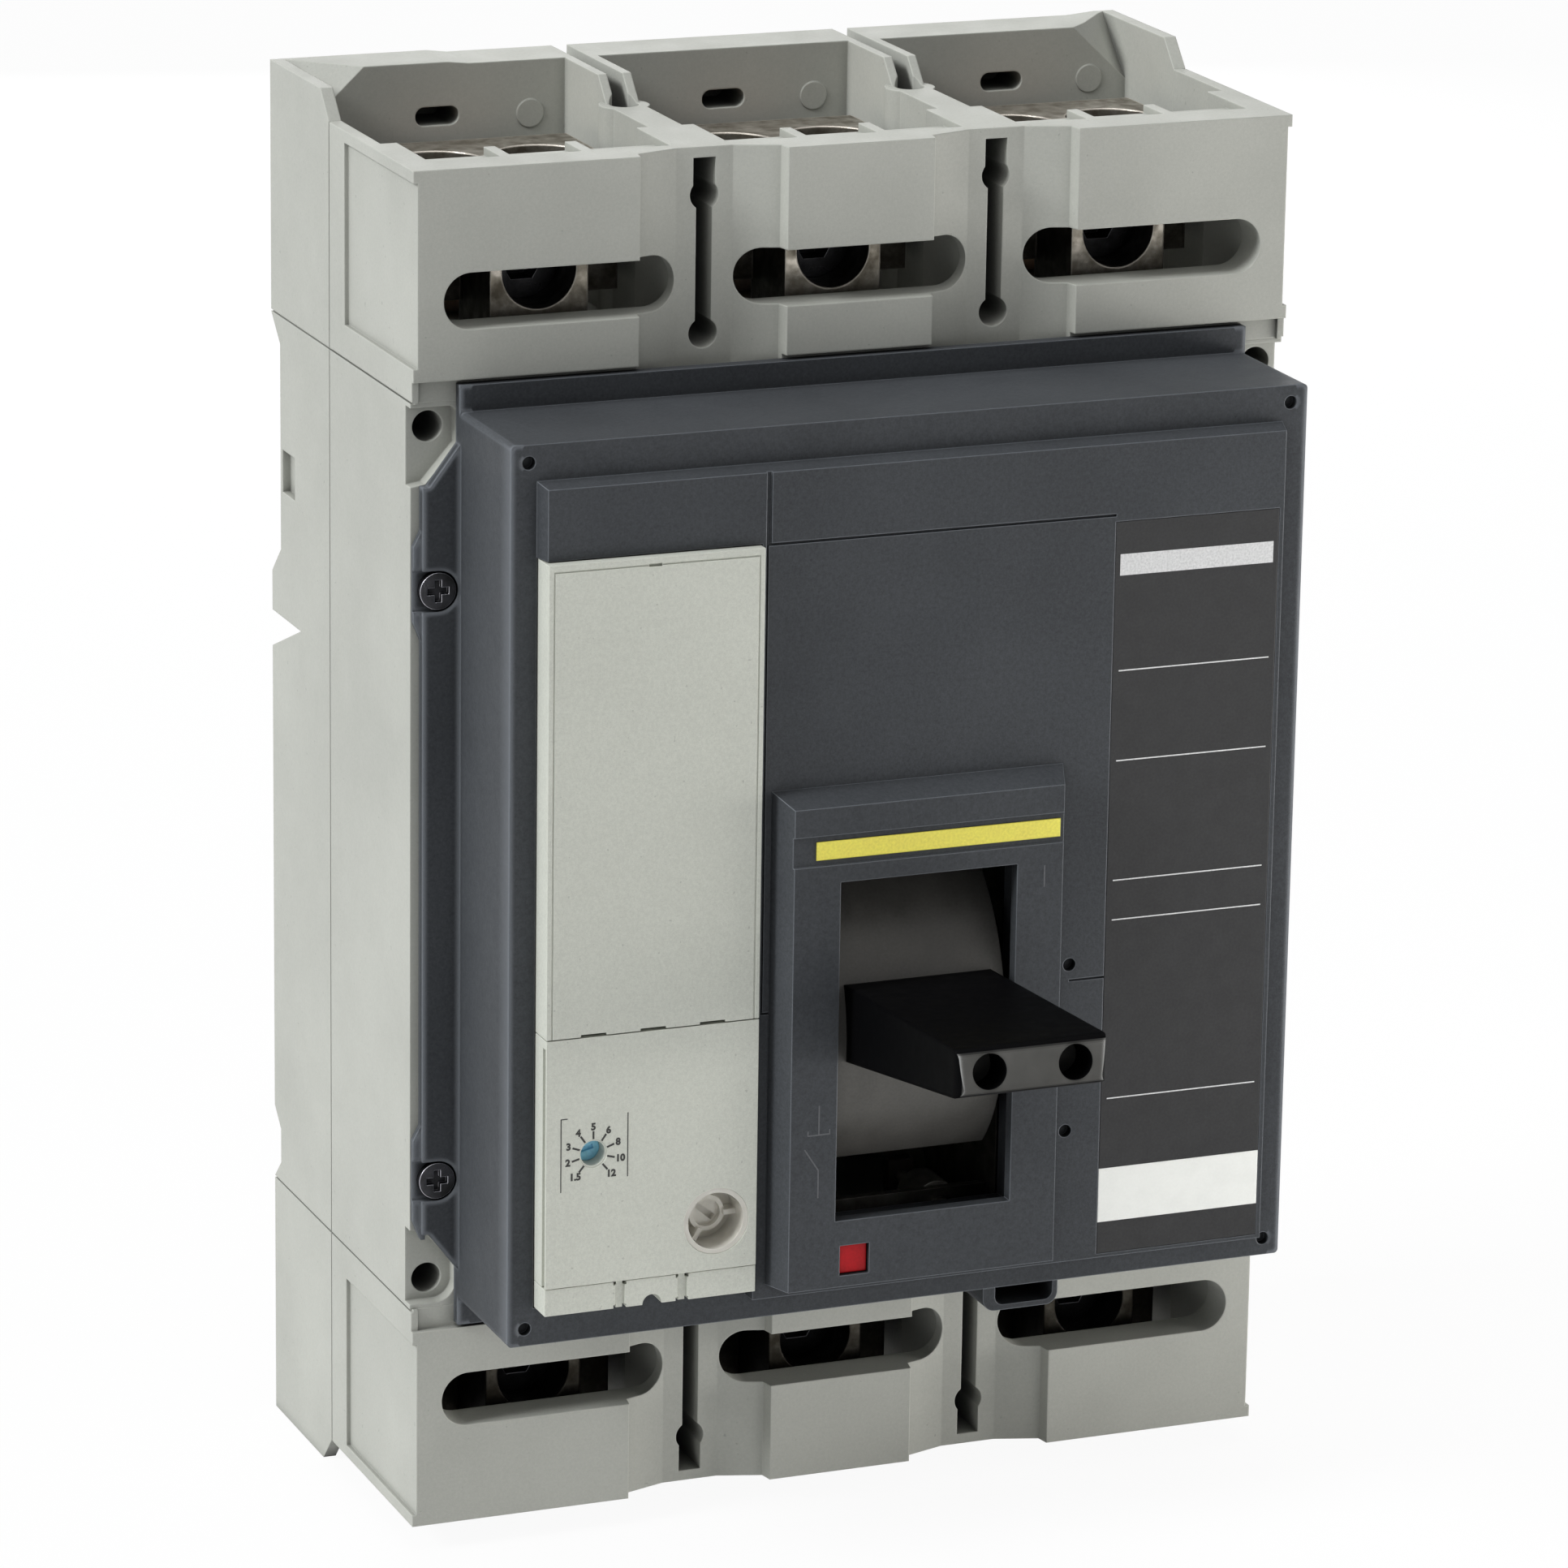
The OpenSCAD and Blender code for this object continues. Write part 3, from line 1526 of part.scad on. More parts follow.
mirror([0, 0, 1]) lug(poles[1]);  // load_lug_b
mirror([0, 0, 1]) lug(poles[2]);  // load_lug_c
line_lug_screws();
load_lug_screws();
arc_chute(poles[0]);  // arc_chute_a
arc_chute(poles[1]);  // arc_chute_b
arc_chute(poles[2]);  // arc_chute_c
current_transformer(poles[0]);  // current_transformer_a
current_transformer(poles[1]);  // current_transformer_b
current_transformer(poles[2]);  // current_transformer_c
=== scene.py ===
import math

import bmesh
import bpy
from mathutils import Matrix, Vector


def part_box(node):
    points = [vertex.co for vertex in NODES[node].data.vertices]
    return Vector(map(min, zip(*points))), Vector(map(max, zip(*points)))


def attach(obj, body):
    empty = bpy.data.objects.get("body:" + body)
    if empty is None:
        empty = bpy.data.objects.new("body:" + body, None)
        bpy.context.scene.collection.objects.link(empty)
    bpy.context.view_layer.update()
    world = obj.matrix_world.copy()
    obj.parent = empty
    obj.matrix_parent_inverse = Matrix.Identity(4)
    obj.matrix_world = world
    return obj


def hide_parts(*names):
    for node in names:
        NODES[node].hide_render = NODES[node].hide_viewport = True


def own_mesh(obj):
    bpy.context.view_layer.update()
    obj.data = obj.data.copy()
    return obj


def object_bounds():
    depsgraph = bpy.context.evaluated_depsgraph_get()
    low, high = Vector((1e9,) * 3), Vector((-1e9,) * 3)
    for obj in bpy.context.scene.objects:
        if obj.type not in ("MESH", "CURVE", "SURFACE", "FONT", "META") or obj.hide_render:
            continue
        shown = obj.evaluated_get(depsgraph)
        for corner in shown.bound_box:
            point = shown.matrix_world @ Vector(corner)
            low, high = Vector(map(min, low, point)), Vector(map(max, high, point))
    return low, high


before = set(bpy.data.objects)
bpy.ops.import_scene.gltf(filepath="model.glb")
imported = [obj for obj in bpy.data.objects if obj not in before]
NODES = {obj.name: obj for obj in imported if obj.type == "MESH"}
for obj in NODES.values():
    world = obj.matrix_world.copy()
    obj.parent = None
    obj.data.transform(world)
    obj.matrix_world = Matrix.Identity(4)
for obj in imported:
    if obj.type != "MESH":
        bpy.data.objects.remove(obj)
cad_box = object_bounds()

MM = 0.001
POLES = "abc"


# ---------------------------------------------------------------- shader helpers

# Distance of the cover's side walls from the middle plane, in mm.
SIDE_HALF = 94.5
# Width over which the rounding of the edges widens, in mm.
WIDENING = 0.5
# Sizes in mm: of spots on a surface, and of the corners and hollows that its painted shade fills.
CLOUD_SIZE = 38
GLOSS_SIZE = 9
SPECK_SIZE = 0.9
WARP_SIZE = 55
CORNER_REACH = 4
HOLLOW_REACH = 18
METAL_CORNER_REACH = 3
METAL_HOLLOW_REACH = 32
LUG_CORNER_REACH = 6
LUG_HOLLOW_REACH = 30


class Look:
    """A node material in the making: a Principled shader with helpers for its inputs."""

    def __init__(self, name, roughness=0.5, **fixed):
        self.mat = bpy.data.materials.new(name)
        self.mat.use_nodes = True
        self.tree = self.mat.node_tree
        self.bsdf = self.tree.nodes["Principled BSDF"]
        self.bsdf.inputs["Roughness"].default_value = roughness
        for key, value in fixed.items():
            self.bsdf.inputs[key.replace("_", " ")].default_value = value
        self.place = self.add("ShaderNodeTexCoord").outputs["Object"]
        self.normal = None

    def add(self, kind, **settings):
        node = self.tree.nodes.new(kind)
        for key, value in settings.items():
            setattr(node, key, value)
        return node

    def link(self, source, target):
        self.tree.links.new(source, target)

    def colour(self, source):
        self.link(source, self.bsdf.inputs["Base Color"])

    def roughness(self, source):
        self.link(source, self.bsdf.inputs["Roughness"])

    def turn_normal(self, source):
        """Makes this normal the surface's, and the start of the next one."""
        self.normal = source
        self.link(source, self.bsdf.inputs["Normal"])

    def stretch(self, scale):
        """The object's coordinates, stretched by a scale on each axis."""
        node = self.add("ShaderNodeMapping")
        node.inputs["Scale"].default_value = scale
        self.link(self.place, node.inputs["Vector"])
        return node.outputs["Vector"]

    def noise(self, size_mm, detail=2.0, place=None):
        """Noise whose spots are about size_mm wide."""
        node = self.add("ShaderNodeTexNoise")
        node.inputs["Scale"].default_value = 1 / (size_mm * MM)
        node.inputs["Detail"].default_value = detail
        self.link(place or self.place, node.inputs["Vector"])
        return node.outputs["Fac"]

    def ramp(self, value, *stops):
        """A value turned into a colour or a grey: stops are (position, colour or grey)."""
        node = self.add("ShaderNodeValToRGB")
        ends = node.color_ramp.elements
        while len(ends) < len(stops):
            ends.new(0.5)
        for end, (position, tone) in zip(ends, stops):
            end.position = position
            end.color = (*tone, 1) if isinstance(tone, tuple) else (tone, tone, tone, 1)
        self.link(value, node.inputs["Fac"])
        return node.outputs["Color"]

    def mix(self, share, a, b, how="MIX"):
        """Two colours blended by a share; each input is a socket, a colour or a number."""
        node = self.add("ShaderNodeMix", data_type="RGBA", blend_type=how)
        factor, first, second = node.inputs["Factor"], node.inputs[6], node.inputs[7]
        for socket, value in ((factor, share), (first, a), (second, b)):
            if isinstance(value, bpy.types.NodeSocket):
                self.link(value, socket)
            elif isinstance(value, tuple):
                socket.default_value = (*value, 1)
            else:
                socket.default_value = value
        return node.outputs[2]

    def times(self, a, b):
        return self.mix(1.0, a, b, "MULTIPLY")

    def along(self, vector, axis, scale=1.0, unsigned=False):
        """One axis of a vector times a scale, without its sign if asked."""
        axes = self.add("ShaderNodeSeparateXYZ")
        self.link(vector, axes.inputs[0])
        value = axes.outputs[axis]
        if unsigned:
            size = self.add("ShaderNodeMath", operation="ABSOLUTE")
            self.link(value, size.inputs[0])
            value = size.outputs[0]
        scaled = self.add("ShaderNodeMath", operation="MULTIPLY")
        scaled.inputs[1].default_value = scale
        self.link(value, scaled.inputs[0])
        return scaled.outputs[0]

    def facing(self, axis, scale=1.0, unsigned=False):
        """A grey that is 1 on faces turned along an axis and 0 on the others."""
        normal = self.add("ShaderNodeTexCoord").outputs["Normal"]
        return self.ramp(self.along(normal, axis, scale, unsigned), (0.75, 0.0), (0.95, 1.0))

    def crevice_shade(self, reach_mm, dark, closed=0.25, open_at=0.9):
        """A grey that is 1 in the open and falls to dark in corners, gaps and deep hollows: painted shade,
        from ambient occlusion.
        """
        node = self.add("ShaderNodeAmbientOcclusion", samples=8)
        node.inputs["Distance"].default_value = reach_mm * MM
        return self.ramp(node.outputs["AO"], (closed, dark), (open_at, 1.0))

    def rounded(self, radius_mm, wide_mm=0.0, past_mm=0.0):
        """A normal that turns softly over the edges, by a wider radius far enough from the middle plane."""
        node = self.add("ShaderNodeBevel", samples=6)
        node.inputs["Radius"].default_value = radius_mm * MM
        if wide_mm:
            radius = self.add("ShaderNodeMapRange")
            self.link(self.along(self.place, "X", unsigned=True), radius.inputs["Value"])
            for key, value in (("From Min", past_mm), ("From Max", past_mm + WIDENING),
                               ("To Min", radius_mm), ("To Max", wide_mm)):
                radius.inputs[key].default_value = value * MM
            self.link(radius.outputs["Result"], node.inputs["Radius"])
        self.turn_normal(node.outputs["Normal"])
        return self.normal

    def edges(self, softened):
        """A grey that is 1 on an edge, from a softened normal, and 0 on a flat."""
        true = self.add("ShaderNodeNewGeometry").outputs["Normal"]
        dot = self.add("ShaderNodeVectorMath", operation="DOT_PRODUCT")
        self.link(softened, dot.inputs[0])
        self.link(true, dot.inputs[1])
        return self.ramp(dot.outputs["Value"], (0.90, 1.0), (0.99, 0.0))

    def bump(self, height, depth_mm, strength=1.0):
        """Adds a height to the surface, on top of those before it."""
        node = self.add("ShaderNodeBump")
        node.inputs["Strength"].default_value = strength
        node.inputs["Distance"].default_value = depth_mm * MM
        self.link(height, node.inputs["Height"])
        if self.normal:
            self.link(self.normal, node.inputs["Normal"])
        self.turn_normal(node.outputs["Normal"])


def shade(tone, factor):
    return tuple(min(1.0, c * factor) for c in tone)


# ---------------------------------------------------------------- materials

def painted_side_sheen(look, base, tone, start, end, strength):
    """Pales the outer sides from a start depth to an end depth, in mm: a painted highlight, the sheen near
    the front edges of the side walls.
    """
    band = look.ramp(look.along(look.place, "Y", -1 / (end * MM)), (start / end, 0.0), (1.0, strength))
    side = look.times(band, look.facing("X", unsigned=True))
    across = look.along(look.place, "X", 1 / (SIDE_HALF * MM), unsigned=True)
    outer = look.ramp(across, (0.955, 0.0), (0.975, 1.0))
    return look.mix(look.times(side, outer), base, shade(tone, 3.0))


def moulded(name, tone, roughness, grain_mm, grain_depth, mottle=0.05, corner_shade=0.6, gloss=0.35,
            edge_mm=0.5, edge_shine=1.18, hollow_shade=0.12, wide=(0.0, 0.0), sparkle=0.06, painted_sheen=None):
    """Moulded plastic: grain, faint clouds, a few specks, rounded edges with a painted highlight, and
    painted shade in corners and hollows.
    """
    look = Look(name, roughness, Specular_IOR_Level=gloss)
    soft = look.rounded(edge_mm, *wide)
    clouds = look.noise(CLOUD_SIZE, 4)
    base = look.ramp(clouds, (0.35, shade(tone, 1 - mottle)), (0.65, shade(tone, 1 + mottle)))
    for size, detail in ((grain_mm * 2.2, 3), (grain_mm, 2)):
        base = look.times(base, look.ramp(look.noise(size, detail), (0.3, 1 - sparkle), (0.7, 1.0)))
    base = look.times(base, look.ramp(look.noise(SPECK_SIZE, 0), (0.83, 1.0), (0.88, 0.78)))
    # Painted highlight on the outer side walls, near their front edges.
    if painted_sheen:
        base = painted_side_sheen(look, base, tone, *painted_sheen)
    # Painted highlight: the edges are drawn paler by edge_shine.
    base = look.mix(look.edges(soft), base, shade(tone, edge_shine))
    # Painted shade: darker in corners and gaps, and darker still in deep hollows.
    base = look.times(base, look.crevice_shade(CORNER_REACH, corner_shade))
    look.colour(look.times(base, look.crevice_shade(HOLLOW_REACH, hollow_shade, 0.06, 0.30)))
    look.roughness(look.ramp(look.noise(GLOSS_SIZE, 3), (0.3, roughness - 0.05), (0.7, roughness + 0.07)))
    look.bump(look.noise(grain_mm, 2), grain_depth)
    look.bump(look.noise(WARP_SIZE, 1), 0.05, 0.5)
    return look


def metal(name, tone, roughness, tarnish, stretch=(1, 1, 1), hollow_shade=0.12, edge_shine=1.3,
          open_at=0.42):
    """Plated or machine-finished metal: brushed grain, tarnish clouds, a painted highlight on the edges,
    painted shade in corners and hollows, and uneven gloss.
    """
    look = Look(name, roughness, Metallic=1.0)
    soft = look.rounded(0.25)
    clouds = look.noise(7, 5)
    base = look.ramp(clouds, (0.38, tarnish), (0.62, tone))
    # Painted highlight on the edges, then painted shade in corners and hollows.
    base = look.mix(look.edges(soft), base, shade(tone, edge_shine))
    base = look.times(base, look.crevice_shade(METAL_CORNER_REACH, 0.45))
    look.colour(look.times(base, look.crevice_shade(METAL_HOLLOW_REACH, hollow_shade, 0.10, open_at)))
    look.roughness(look.ramp(clouds, (0.35, roughness + 0.15), (0.7, roughness)))
    look.bump(look.noise(0.5, 3, look.stretch(stretch)), 0.02)
    return look


def cast_metal(name, deep, open_at, edge_light=(0.62, 0.58, 0.52)):
    """Cast and tin-plated lug: a grained skin, with painted shade in its corners and hollows and a painted
    highlight on its edges.
    """
    look = Look(name, 0.42, Metallic=1.0)
    soft = look.rounded(0.7)
    skin = look.noise(4.5, 6)
    tone = look.ramp(skin, (0.36, (0.13, 0.115, 0.09)), (0.52, (0.26, 0.24, 0.20)),
                     (0.66, (0.44, 0.41, 0.36)))
    # Painted highlight on the edges, then painted shade in corners and hollows.
    tone = look.mix(look.edges(soft), tone, edge_light)
    tone = look.times(tone, look.crevice_shade(LUG_CORNER_REACH, 0.4))
    look.colour(look.times(tone, look.crevice_shade(LUG_HOLLOW_REACH, deep, 0.08, open_at)))
    look.roughness(look.ramp(skin, (0.3, 0.55), (0.7, 0.32)))
    look.bump(skin, 0.12)
    look.bump(look.noise(0.7, 3), 0.03)
    return look


def smooth(name, tone, roughness, gloss=0.4, streak=(1, 1, 1), streak_mm=6, worn=0.1, corner_shade=0.5,
           fine=0.14):
    """Smooth moulding or film with streaks from rubbing, a fine mottle, rounded edges and painted shade in
    its corners.
    """
    look = Look(name, roughness, Specular_IOR_Level=gloss)
    look.rounded(0.4)
    streaks = look.noise(streak_mm, 4, look.stretch(streak))
    base = look.ramp(streaks, (0.35, shade(tone, 1 - worn)), (0.65, shade(tone, 1 + worn)))
    base = look.times(base, look.ramp(look.noise(0.6, 2), (0.3, 1 - fine), (0.7, 1.0)))
    # Painted shade in the corners.
    look.colour(look.times(base, look.crevice_shade(CORNER_REACH, corner_shade)))
    look.roughness(look.ramp(streaks, (0.35, roughness - 0.06), (0.7, roughness + 0.08)))
    look.bump(look.noise(0.5, 2), 0.006)
    return look


def handle_plastic():
    """Black handle: dull on top, its end face painted lighter as a painted sheen, with a painted highlight
    along the outer edges of the end.
    """
    look = Look("handle_plastic", 0.42, Specular_IOR_Level=0.02)
    soft = look.rounded(1.6)
    # The end face, turned to the front, is painted lighter than the rest: painted sheen.
    front = look.facing("Y", -1.0)
    end_mottle = look.noise(GLOSS_SIZE, 3)
    painted_sheen = look.ramp(end_mottle, (0.3, (0.085, 0.084, 0.079)), (0.7, (0.115, 0.113, 0.107)))
    tone = look.mix(front, (0.0022, 0.0022, 0.0025), painted_sheen)
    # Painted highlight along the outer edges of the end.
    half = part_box("toggle_handle")[1].x
    outer = look.ramp(look.along(look.place, "X", 1 / half, unsigned=True), (0.86, 0.0), (0.93, 1.0))
    rim_highlight = look.times(look.edges(soft), look.times(outer, front))
    tone = look.mix(rim_highlight, tone, (0.60, 0.60, 0.59))
    # Painted shade in the corners.
    look.colour(look.times(tone, look.crevice_shade(CORNER_REACH, 0.3)))
    look.roughness(look.ramp(look.noise(5, 3), (0.3, 0.36), (0.7, 0.5)))
    look.bump(look.noise(0.4, 2), 0.012)
    return look


def clear_plastic():
    """Milky clear moulding of the cover fastener."""
    look = Look("clear_plastic", 0.12, IOR=1.46, Transmission_Weight=0.25)
    look.colour(look.ramp(look.noise(5, 3), (0.3, (0.80, 0.77, 0.69)), (0.7, (0.95, 0.93, 0.86))))
    look.bump(look.noise(2.5, 2), 0.02)
    return look


def ink(name, tone):
    """Ink on a moulded face, slightly uneven where it covers the grain."""
    look = Look(name, 0.55)
    look.colour(look.ramp(look.noise(0.5, 3), (0.3, shade(tone, 0.75)), (0.7, tone)))
    return look


# ---------------------------------------------------------------- painting the CAD nodes

def paint(look, *names):
    for name in names:
        mesh = NODES[name].data
        mesh.materials.clear()
        mesh.materials.append(look.mat)


def poles(*stems):
    return [f"{stem}_{pole}" for stem in stems for pole in POLES]


def paint_plastics():
    paint(moulded("case_plastic", (0.48, 0.485, 0.442), 0.6, 0.35, 0.012),
          "rear_base", "mid_case", "line_terminal_block", "load_terminal_block")
    # The cover's edges carry a strong painted highlight, and its side walls a painted sheen near the front.
    paint(moulded("cover_plastic", (0.068, 0.073, 0.080), 0.5, 0.45, 0.03, mottle=0.08, corner_shade=0.5,
                  gloss=0.12, edge_mm=0.4, edge_shine=3.0, wide=(2.0, 91.5), sparkle=0.18,
                  painted_sheen=(127, 134, 0.42)),
          "front_cover", "cover_latch", "toggle_escutcheon")
    paint(moulded("trip_plastic", (0.69, 0.705, 0.63), 0.5, 0.3, 0.008, mottle=0.02, corner_shade=0.85,
                  edge_mm=0.25, hollow_shade=1.0, sparkle=0.1),
          "trip_unit_housing", "trip_unit_cover", "rating_plug")
    paint(moulded("inner_plastic", (0.06, 0.05, 0.04), 0.5, 0.5, 0.02, hollow_shade=0.03),
          "trip_bar", "contact_crossbar")
    paint(moulded("core_plastic", (0.09, 0.10, 0.05), 0.5, 0.5, 0.02), *poles("current_transformer"))
    paint(smooth("drum_plastic", (0.100, 0.096, 0.088), 0.42, gloss=0.3, streak=(1, 1, 0.2),
                 streak_mm=5, worn=0.08),
          "toggle_drum")
    paint(smooth("red_plastic", (0.50, 0.006, 0.011), 0.4, gloss=0.2), "trip_button")
    paint(smooth("blue_plastic", (0.30, 0.70, 1.0), 0.35, corner_shade=1.0), "setting_dial")
    paint(smooth("board_green", (0.02, 0.12, 0.05), 0.3, worn=0.2), "circuit_board")
    paint(clear_plastic(), "cover_fastener")
    paint(handle_plastic(), "toggle_handle")


def paint_films():
    paint(smooth("yellow_film", (1.0, 0.88, 0.13), 0.45, worn=0.03, corner_shade=0.8), "accent_stripe")
    paint(smooth("dark_label", (0.051, 0.051, 0.052), 0.5, gloss=0.12, worn=0.06), "rating_label")
    paint(smooth("white_label", (0.97, 0.98, 0.94), 0.5, worn=0.02, fine=0.03), "blank_label")


def paint_metals():
    paint(metal("zinc_steel", (0.62, 0.61, 0.57), 0.34, (0.42, 0.41, 0.37), stretch=(1, 1, 12)),
          "case_screws", "trip_actuator", "toggle_pivot_pin")
    # A darker copy of the zinc steel for the parts deep inside: painted shade, with its hollows painted
    # fully dark.
    paint(metal("shaded_zinc", (0.30, 0.29, 0.26), 0.42, (0.16, 0.15, 0.13), stretch=(1, 1, 12),
                hollow_shade=0.0, open_at=0.8),
          "toggle_yoke", "mechanism_frame", *poles("arc_chute"))
    # Screws nearly black, with a strong painted highlight on their edges.
    paint(metal("dark_steel", (0.13, 0.13, 0.14), 0.24, (0.04, 0.04, 0.04), edge_shine=6.0),
          "cover_screws", "line_lug_screws", "load_lug_screws")
    paint(metal("spring_steel", (0.62, 0.62, 0.62), 0.28, (0.4, 0.4, 0.4)),
          "toggle_springs", "button_spring")
    paint(metal("tinned_copper", (0.78, 0.52, 0.38), 0.36, (0.62, 0.5, 0.44), stretch=(1, 1, 9)),
          *poles("moving_contact", "line_terminal", "load_terminal"))
    # Painted shade: the line lugs darken in their hollows; the load lugs are a shaded copy, painted dark
    # nearly all over, with dim edges.
    paint(cast_metal("lug_metal", 0.08, 0.5), *poles("line_lug"))
    paint(cast_metal("shaded_lug_metal", 0.0, 0.95, edge_light=(0.10, 0.09, 0.08)),
          *poles("load_lug"))


# ---------------------------------------------------------------- printed marks

# Places and sizes of the marks are in mm. A mark's thickness is twice this rise.
INK_RISE = 0.04
# A font's size for a digit of height 1, and how much its strokes are swollen.
FONT_SIZE = 1.35
STROKE_SWELL = 0.11

BLACK_INK = ink("black_ink", (0.035, 0.035, 0.032))
GREY_INK = ink("grey_ink", (0.82, 0.82, 0.82))
PALE_INK = ink("pale_ink", (0.88, 0.88, 0.88))
# Paler than the cover: a painted highlight, the light caught by the pressed lines of the escutcheon marks.
LINE_HIGHLIGHT_INK = ink("line_highlight_ink", (0.105, 0.110, 0.120))


def face_depth(node):
    """Depth of a node's front face, in mm."""
    return -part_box(node)[0].y / MM


def add_piece(name, mesh, look):
    """A new piece that rides on the case."""
    mesh.materials.clear()
    mesh.materials.append(look.mat)
    piece = bpy.data.objects.new(name, mesh)
    bpy.context.scene.collection.objects.link(piece)
    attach(piece, "case")


def add_bar(bm, centre, size, turn=0.0):
    """A thin plate in the (x, z) plane: centre is (x, depth, z), size is (width, height), all in mm."""
    x, depth, z = centre
    place = Matrix.Translation(Vector((x, -depth, z)) * MM) @ Matrix.Rotation(turn, 4, "Y")
    w, h = size[0] / 2, size[1] / 2
    outline = ((-w, -h), (w, -h), (w, h), (-w, h))
    front, back = ([bm.verts.new(place @ (Vector((u, y, v)) * MM)) for u, v in outline]
                   for y in (-INK_RISE, INK_RISE))
    bm.faces.new(front)
    bm.faces.new(back[::-1])
    for i in range(4):
        j = (i + 1) % 4
        bm.faces.new((front[i], back[i], back[j], front[j]))


def print_bars(name, look, bars):
    """One piece made of bars; each is (centre, size) or (centre, size, turn)."""
    bm = bmesh.new()
    for bar in bars:
        add_bar(bm, *bar)
    mesh = bpy.data.meshes.new(name)
    bm.normal_update()
    bm.to_mesh(mesh)
    bm.free()
    add_piece(name, mesh, look)


def print_number(name, value, centre, height):
    """A printed number in Blender's own font, as a thin mesh."""
    curve = bpy.data.curves.new(name, "FONT")
    curve.body = value
    curve.size = height * FONT_SIZE * MM
    curve.align_x, curve.align_y = "CENTER", "CENTER"
    curve.extrude = INK_RISE * MM
    curve.offset = STROKE_SWELL * MM
    curve.resolution_u = 3
    draft = bpy.data.objects.new(name + "_draft", curve)
    bpy.context.scene.collection.objects.link(draft)
    bpy.context.view_layer.update()
    mesh = bpy.data.meshes.new_from_object(draft)
    bpy.data.objects.remove(draft)
    x, depth, z = centre
    upright = Matrix.Rotation(math.radians(90), 4, "X")
    mesh.transform(Matrix.Translation(Vector((x, -depth, z)) * MM) @ upright)
    add_piece(name, mesh, BLACK_INK)


DIAL_VALUES = ("1.5", "2", "3", "4", "5", "6", "8", "10", "12")
DIAL_START = -140
DIAL_STEP = 35
TICK_RADIUS = 4.3
TICK_SIZE = (0.45, 1.85)
NUMBER_RADIUS = 6.2
LONG_NUMBER_RADIUS = 6.6
NUMBER_HEIGHT = 1.65
BRACKET_LINE = 0.22
BRACKET_TOP = 8.7
# (distance to the side of the dial, lower end) of the two lines beside the scale.
BRACKET_SIDES = ((-7.6, -8.3), (8.1, -6.2))
# (distance to the side of the dial, length) of the short line at the top left.
BRACKET_LIP = (-6.9, 1.6)


def print_dial_scale():
    low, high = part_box("setting_dial")
    x, z = (low.x + high.x) / 2 / MM, (low.z + high.z) / 2 / MM
    depth = face_depth("trip_unit_cover")

    def around(degrees, radius):
        """A place on the dial, clockwise from the top."""
        angle = math.radians(degrees)
        return x + radius * math.sin(angle), depth, z + radius * math.cos(angle)

    angles = [DIAL_START + DIAL_STEP * i for i in range(len(DIAL_VALUES))]
    bars = [(around(angle, TICK_RADIUS), TICK_SIZE, math.radians(angle)) for angle in angles]
    for side, bottom in BRACKET_SIDES:
        centre = (x + side, depth, z + (bottom + BRACKET_TOP) / 2)
        bars.append((centre, (BRACKET_LINE, BRACKET_TOP - bottom)))
    lip_side, lip_length = BRACKET_LIP
    bars.append(((x + lip_side, depth, z + BRACKET_TOP), (lip_length, BRACKET_LINE)))
    print_bars("dial_scale", BLACK_INK, bars)
    for i, (value, angle) in enumerate(zip(DIAL_VALUES, angles)):
        radius = NUMBER_RADIUS if len(value) == 1 else LONG_NUMBER_RADIUS
        print_number(f"dial_number_{i}", value, around(angle, radius), NUMBER_HEIGHT)


LABEL_BAR_DROP = 9.9
LABEL_BAR_HEIGHT = 4.9
LABEL_BAR_MARGIN = 1.2
RULE_HEIGHTS = (41.7, 20.8, -7.2, -16.5, -58.9)
RULE_LINE = 0.28
RULE_MARGIN = 1.5


def print_label_form():
    """Blank form on the dark label: a pale bar near its top and thin rules."""
    low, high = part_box("rating_label")
    depth = face_depth("rating_label")
    x, width, top = (low.x + high.x) / 2 / MM, (high.x - low.x) / MM, high.z / MM
    bar_size = (width - 2 * LABEL_BAR_MARGIN, LABEL_BAR_HEIGHT)
    print_bars("label_bar", GREY_INK, [((x, depth, top - LABEL_BAR_DROP), bar_size)])
    rule_size = (width - 2 * RULE_MARGIN, RULE_LINE)
    rules = [((x, depth, z), rule_size) for z in RULE_HEIGHTS]
    print_bars("label_rules", PALE_INK, rules)


MARK_LINE = 0.32
# (x, z, length)
ON_BAR = (27.8, -2.0, 5.0)
# The switch sign: two contacts in line, a cross bar with short upright ends, and a slanted blade.
SIGN_X = -25.5
CONTACT_LENGTH = 6.7
UPPER_CONTACT_Z = -53.4
LOWER_CONTACT_Z = -68.4
# (z, length)
CROSS_BAR = (-56.9, 5.2)
# (z, distance to the side, length)
CROSS_END = (-56.4, 2.6, 1.2)
# (x, z, length, turn in degrees)
BLADE = (-27.2, -62.6, 6.1, -33)


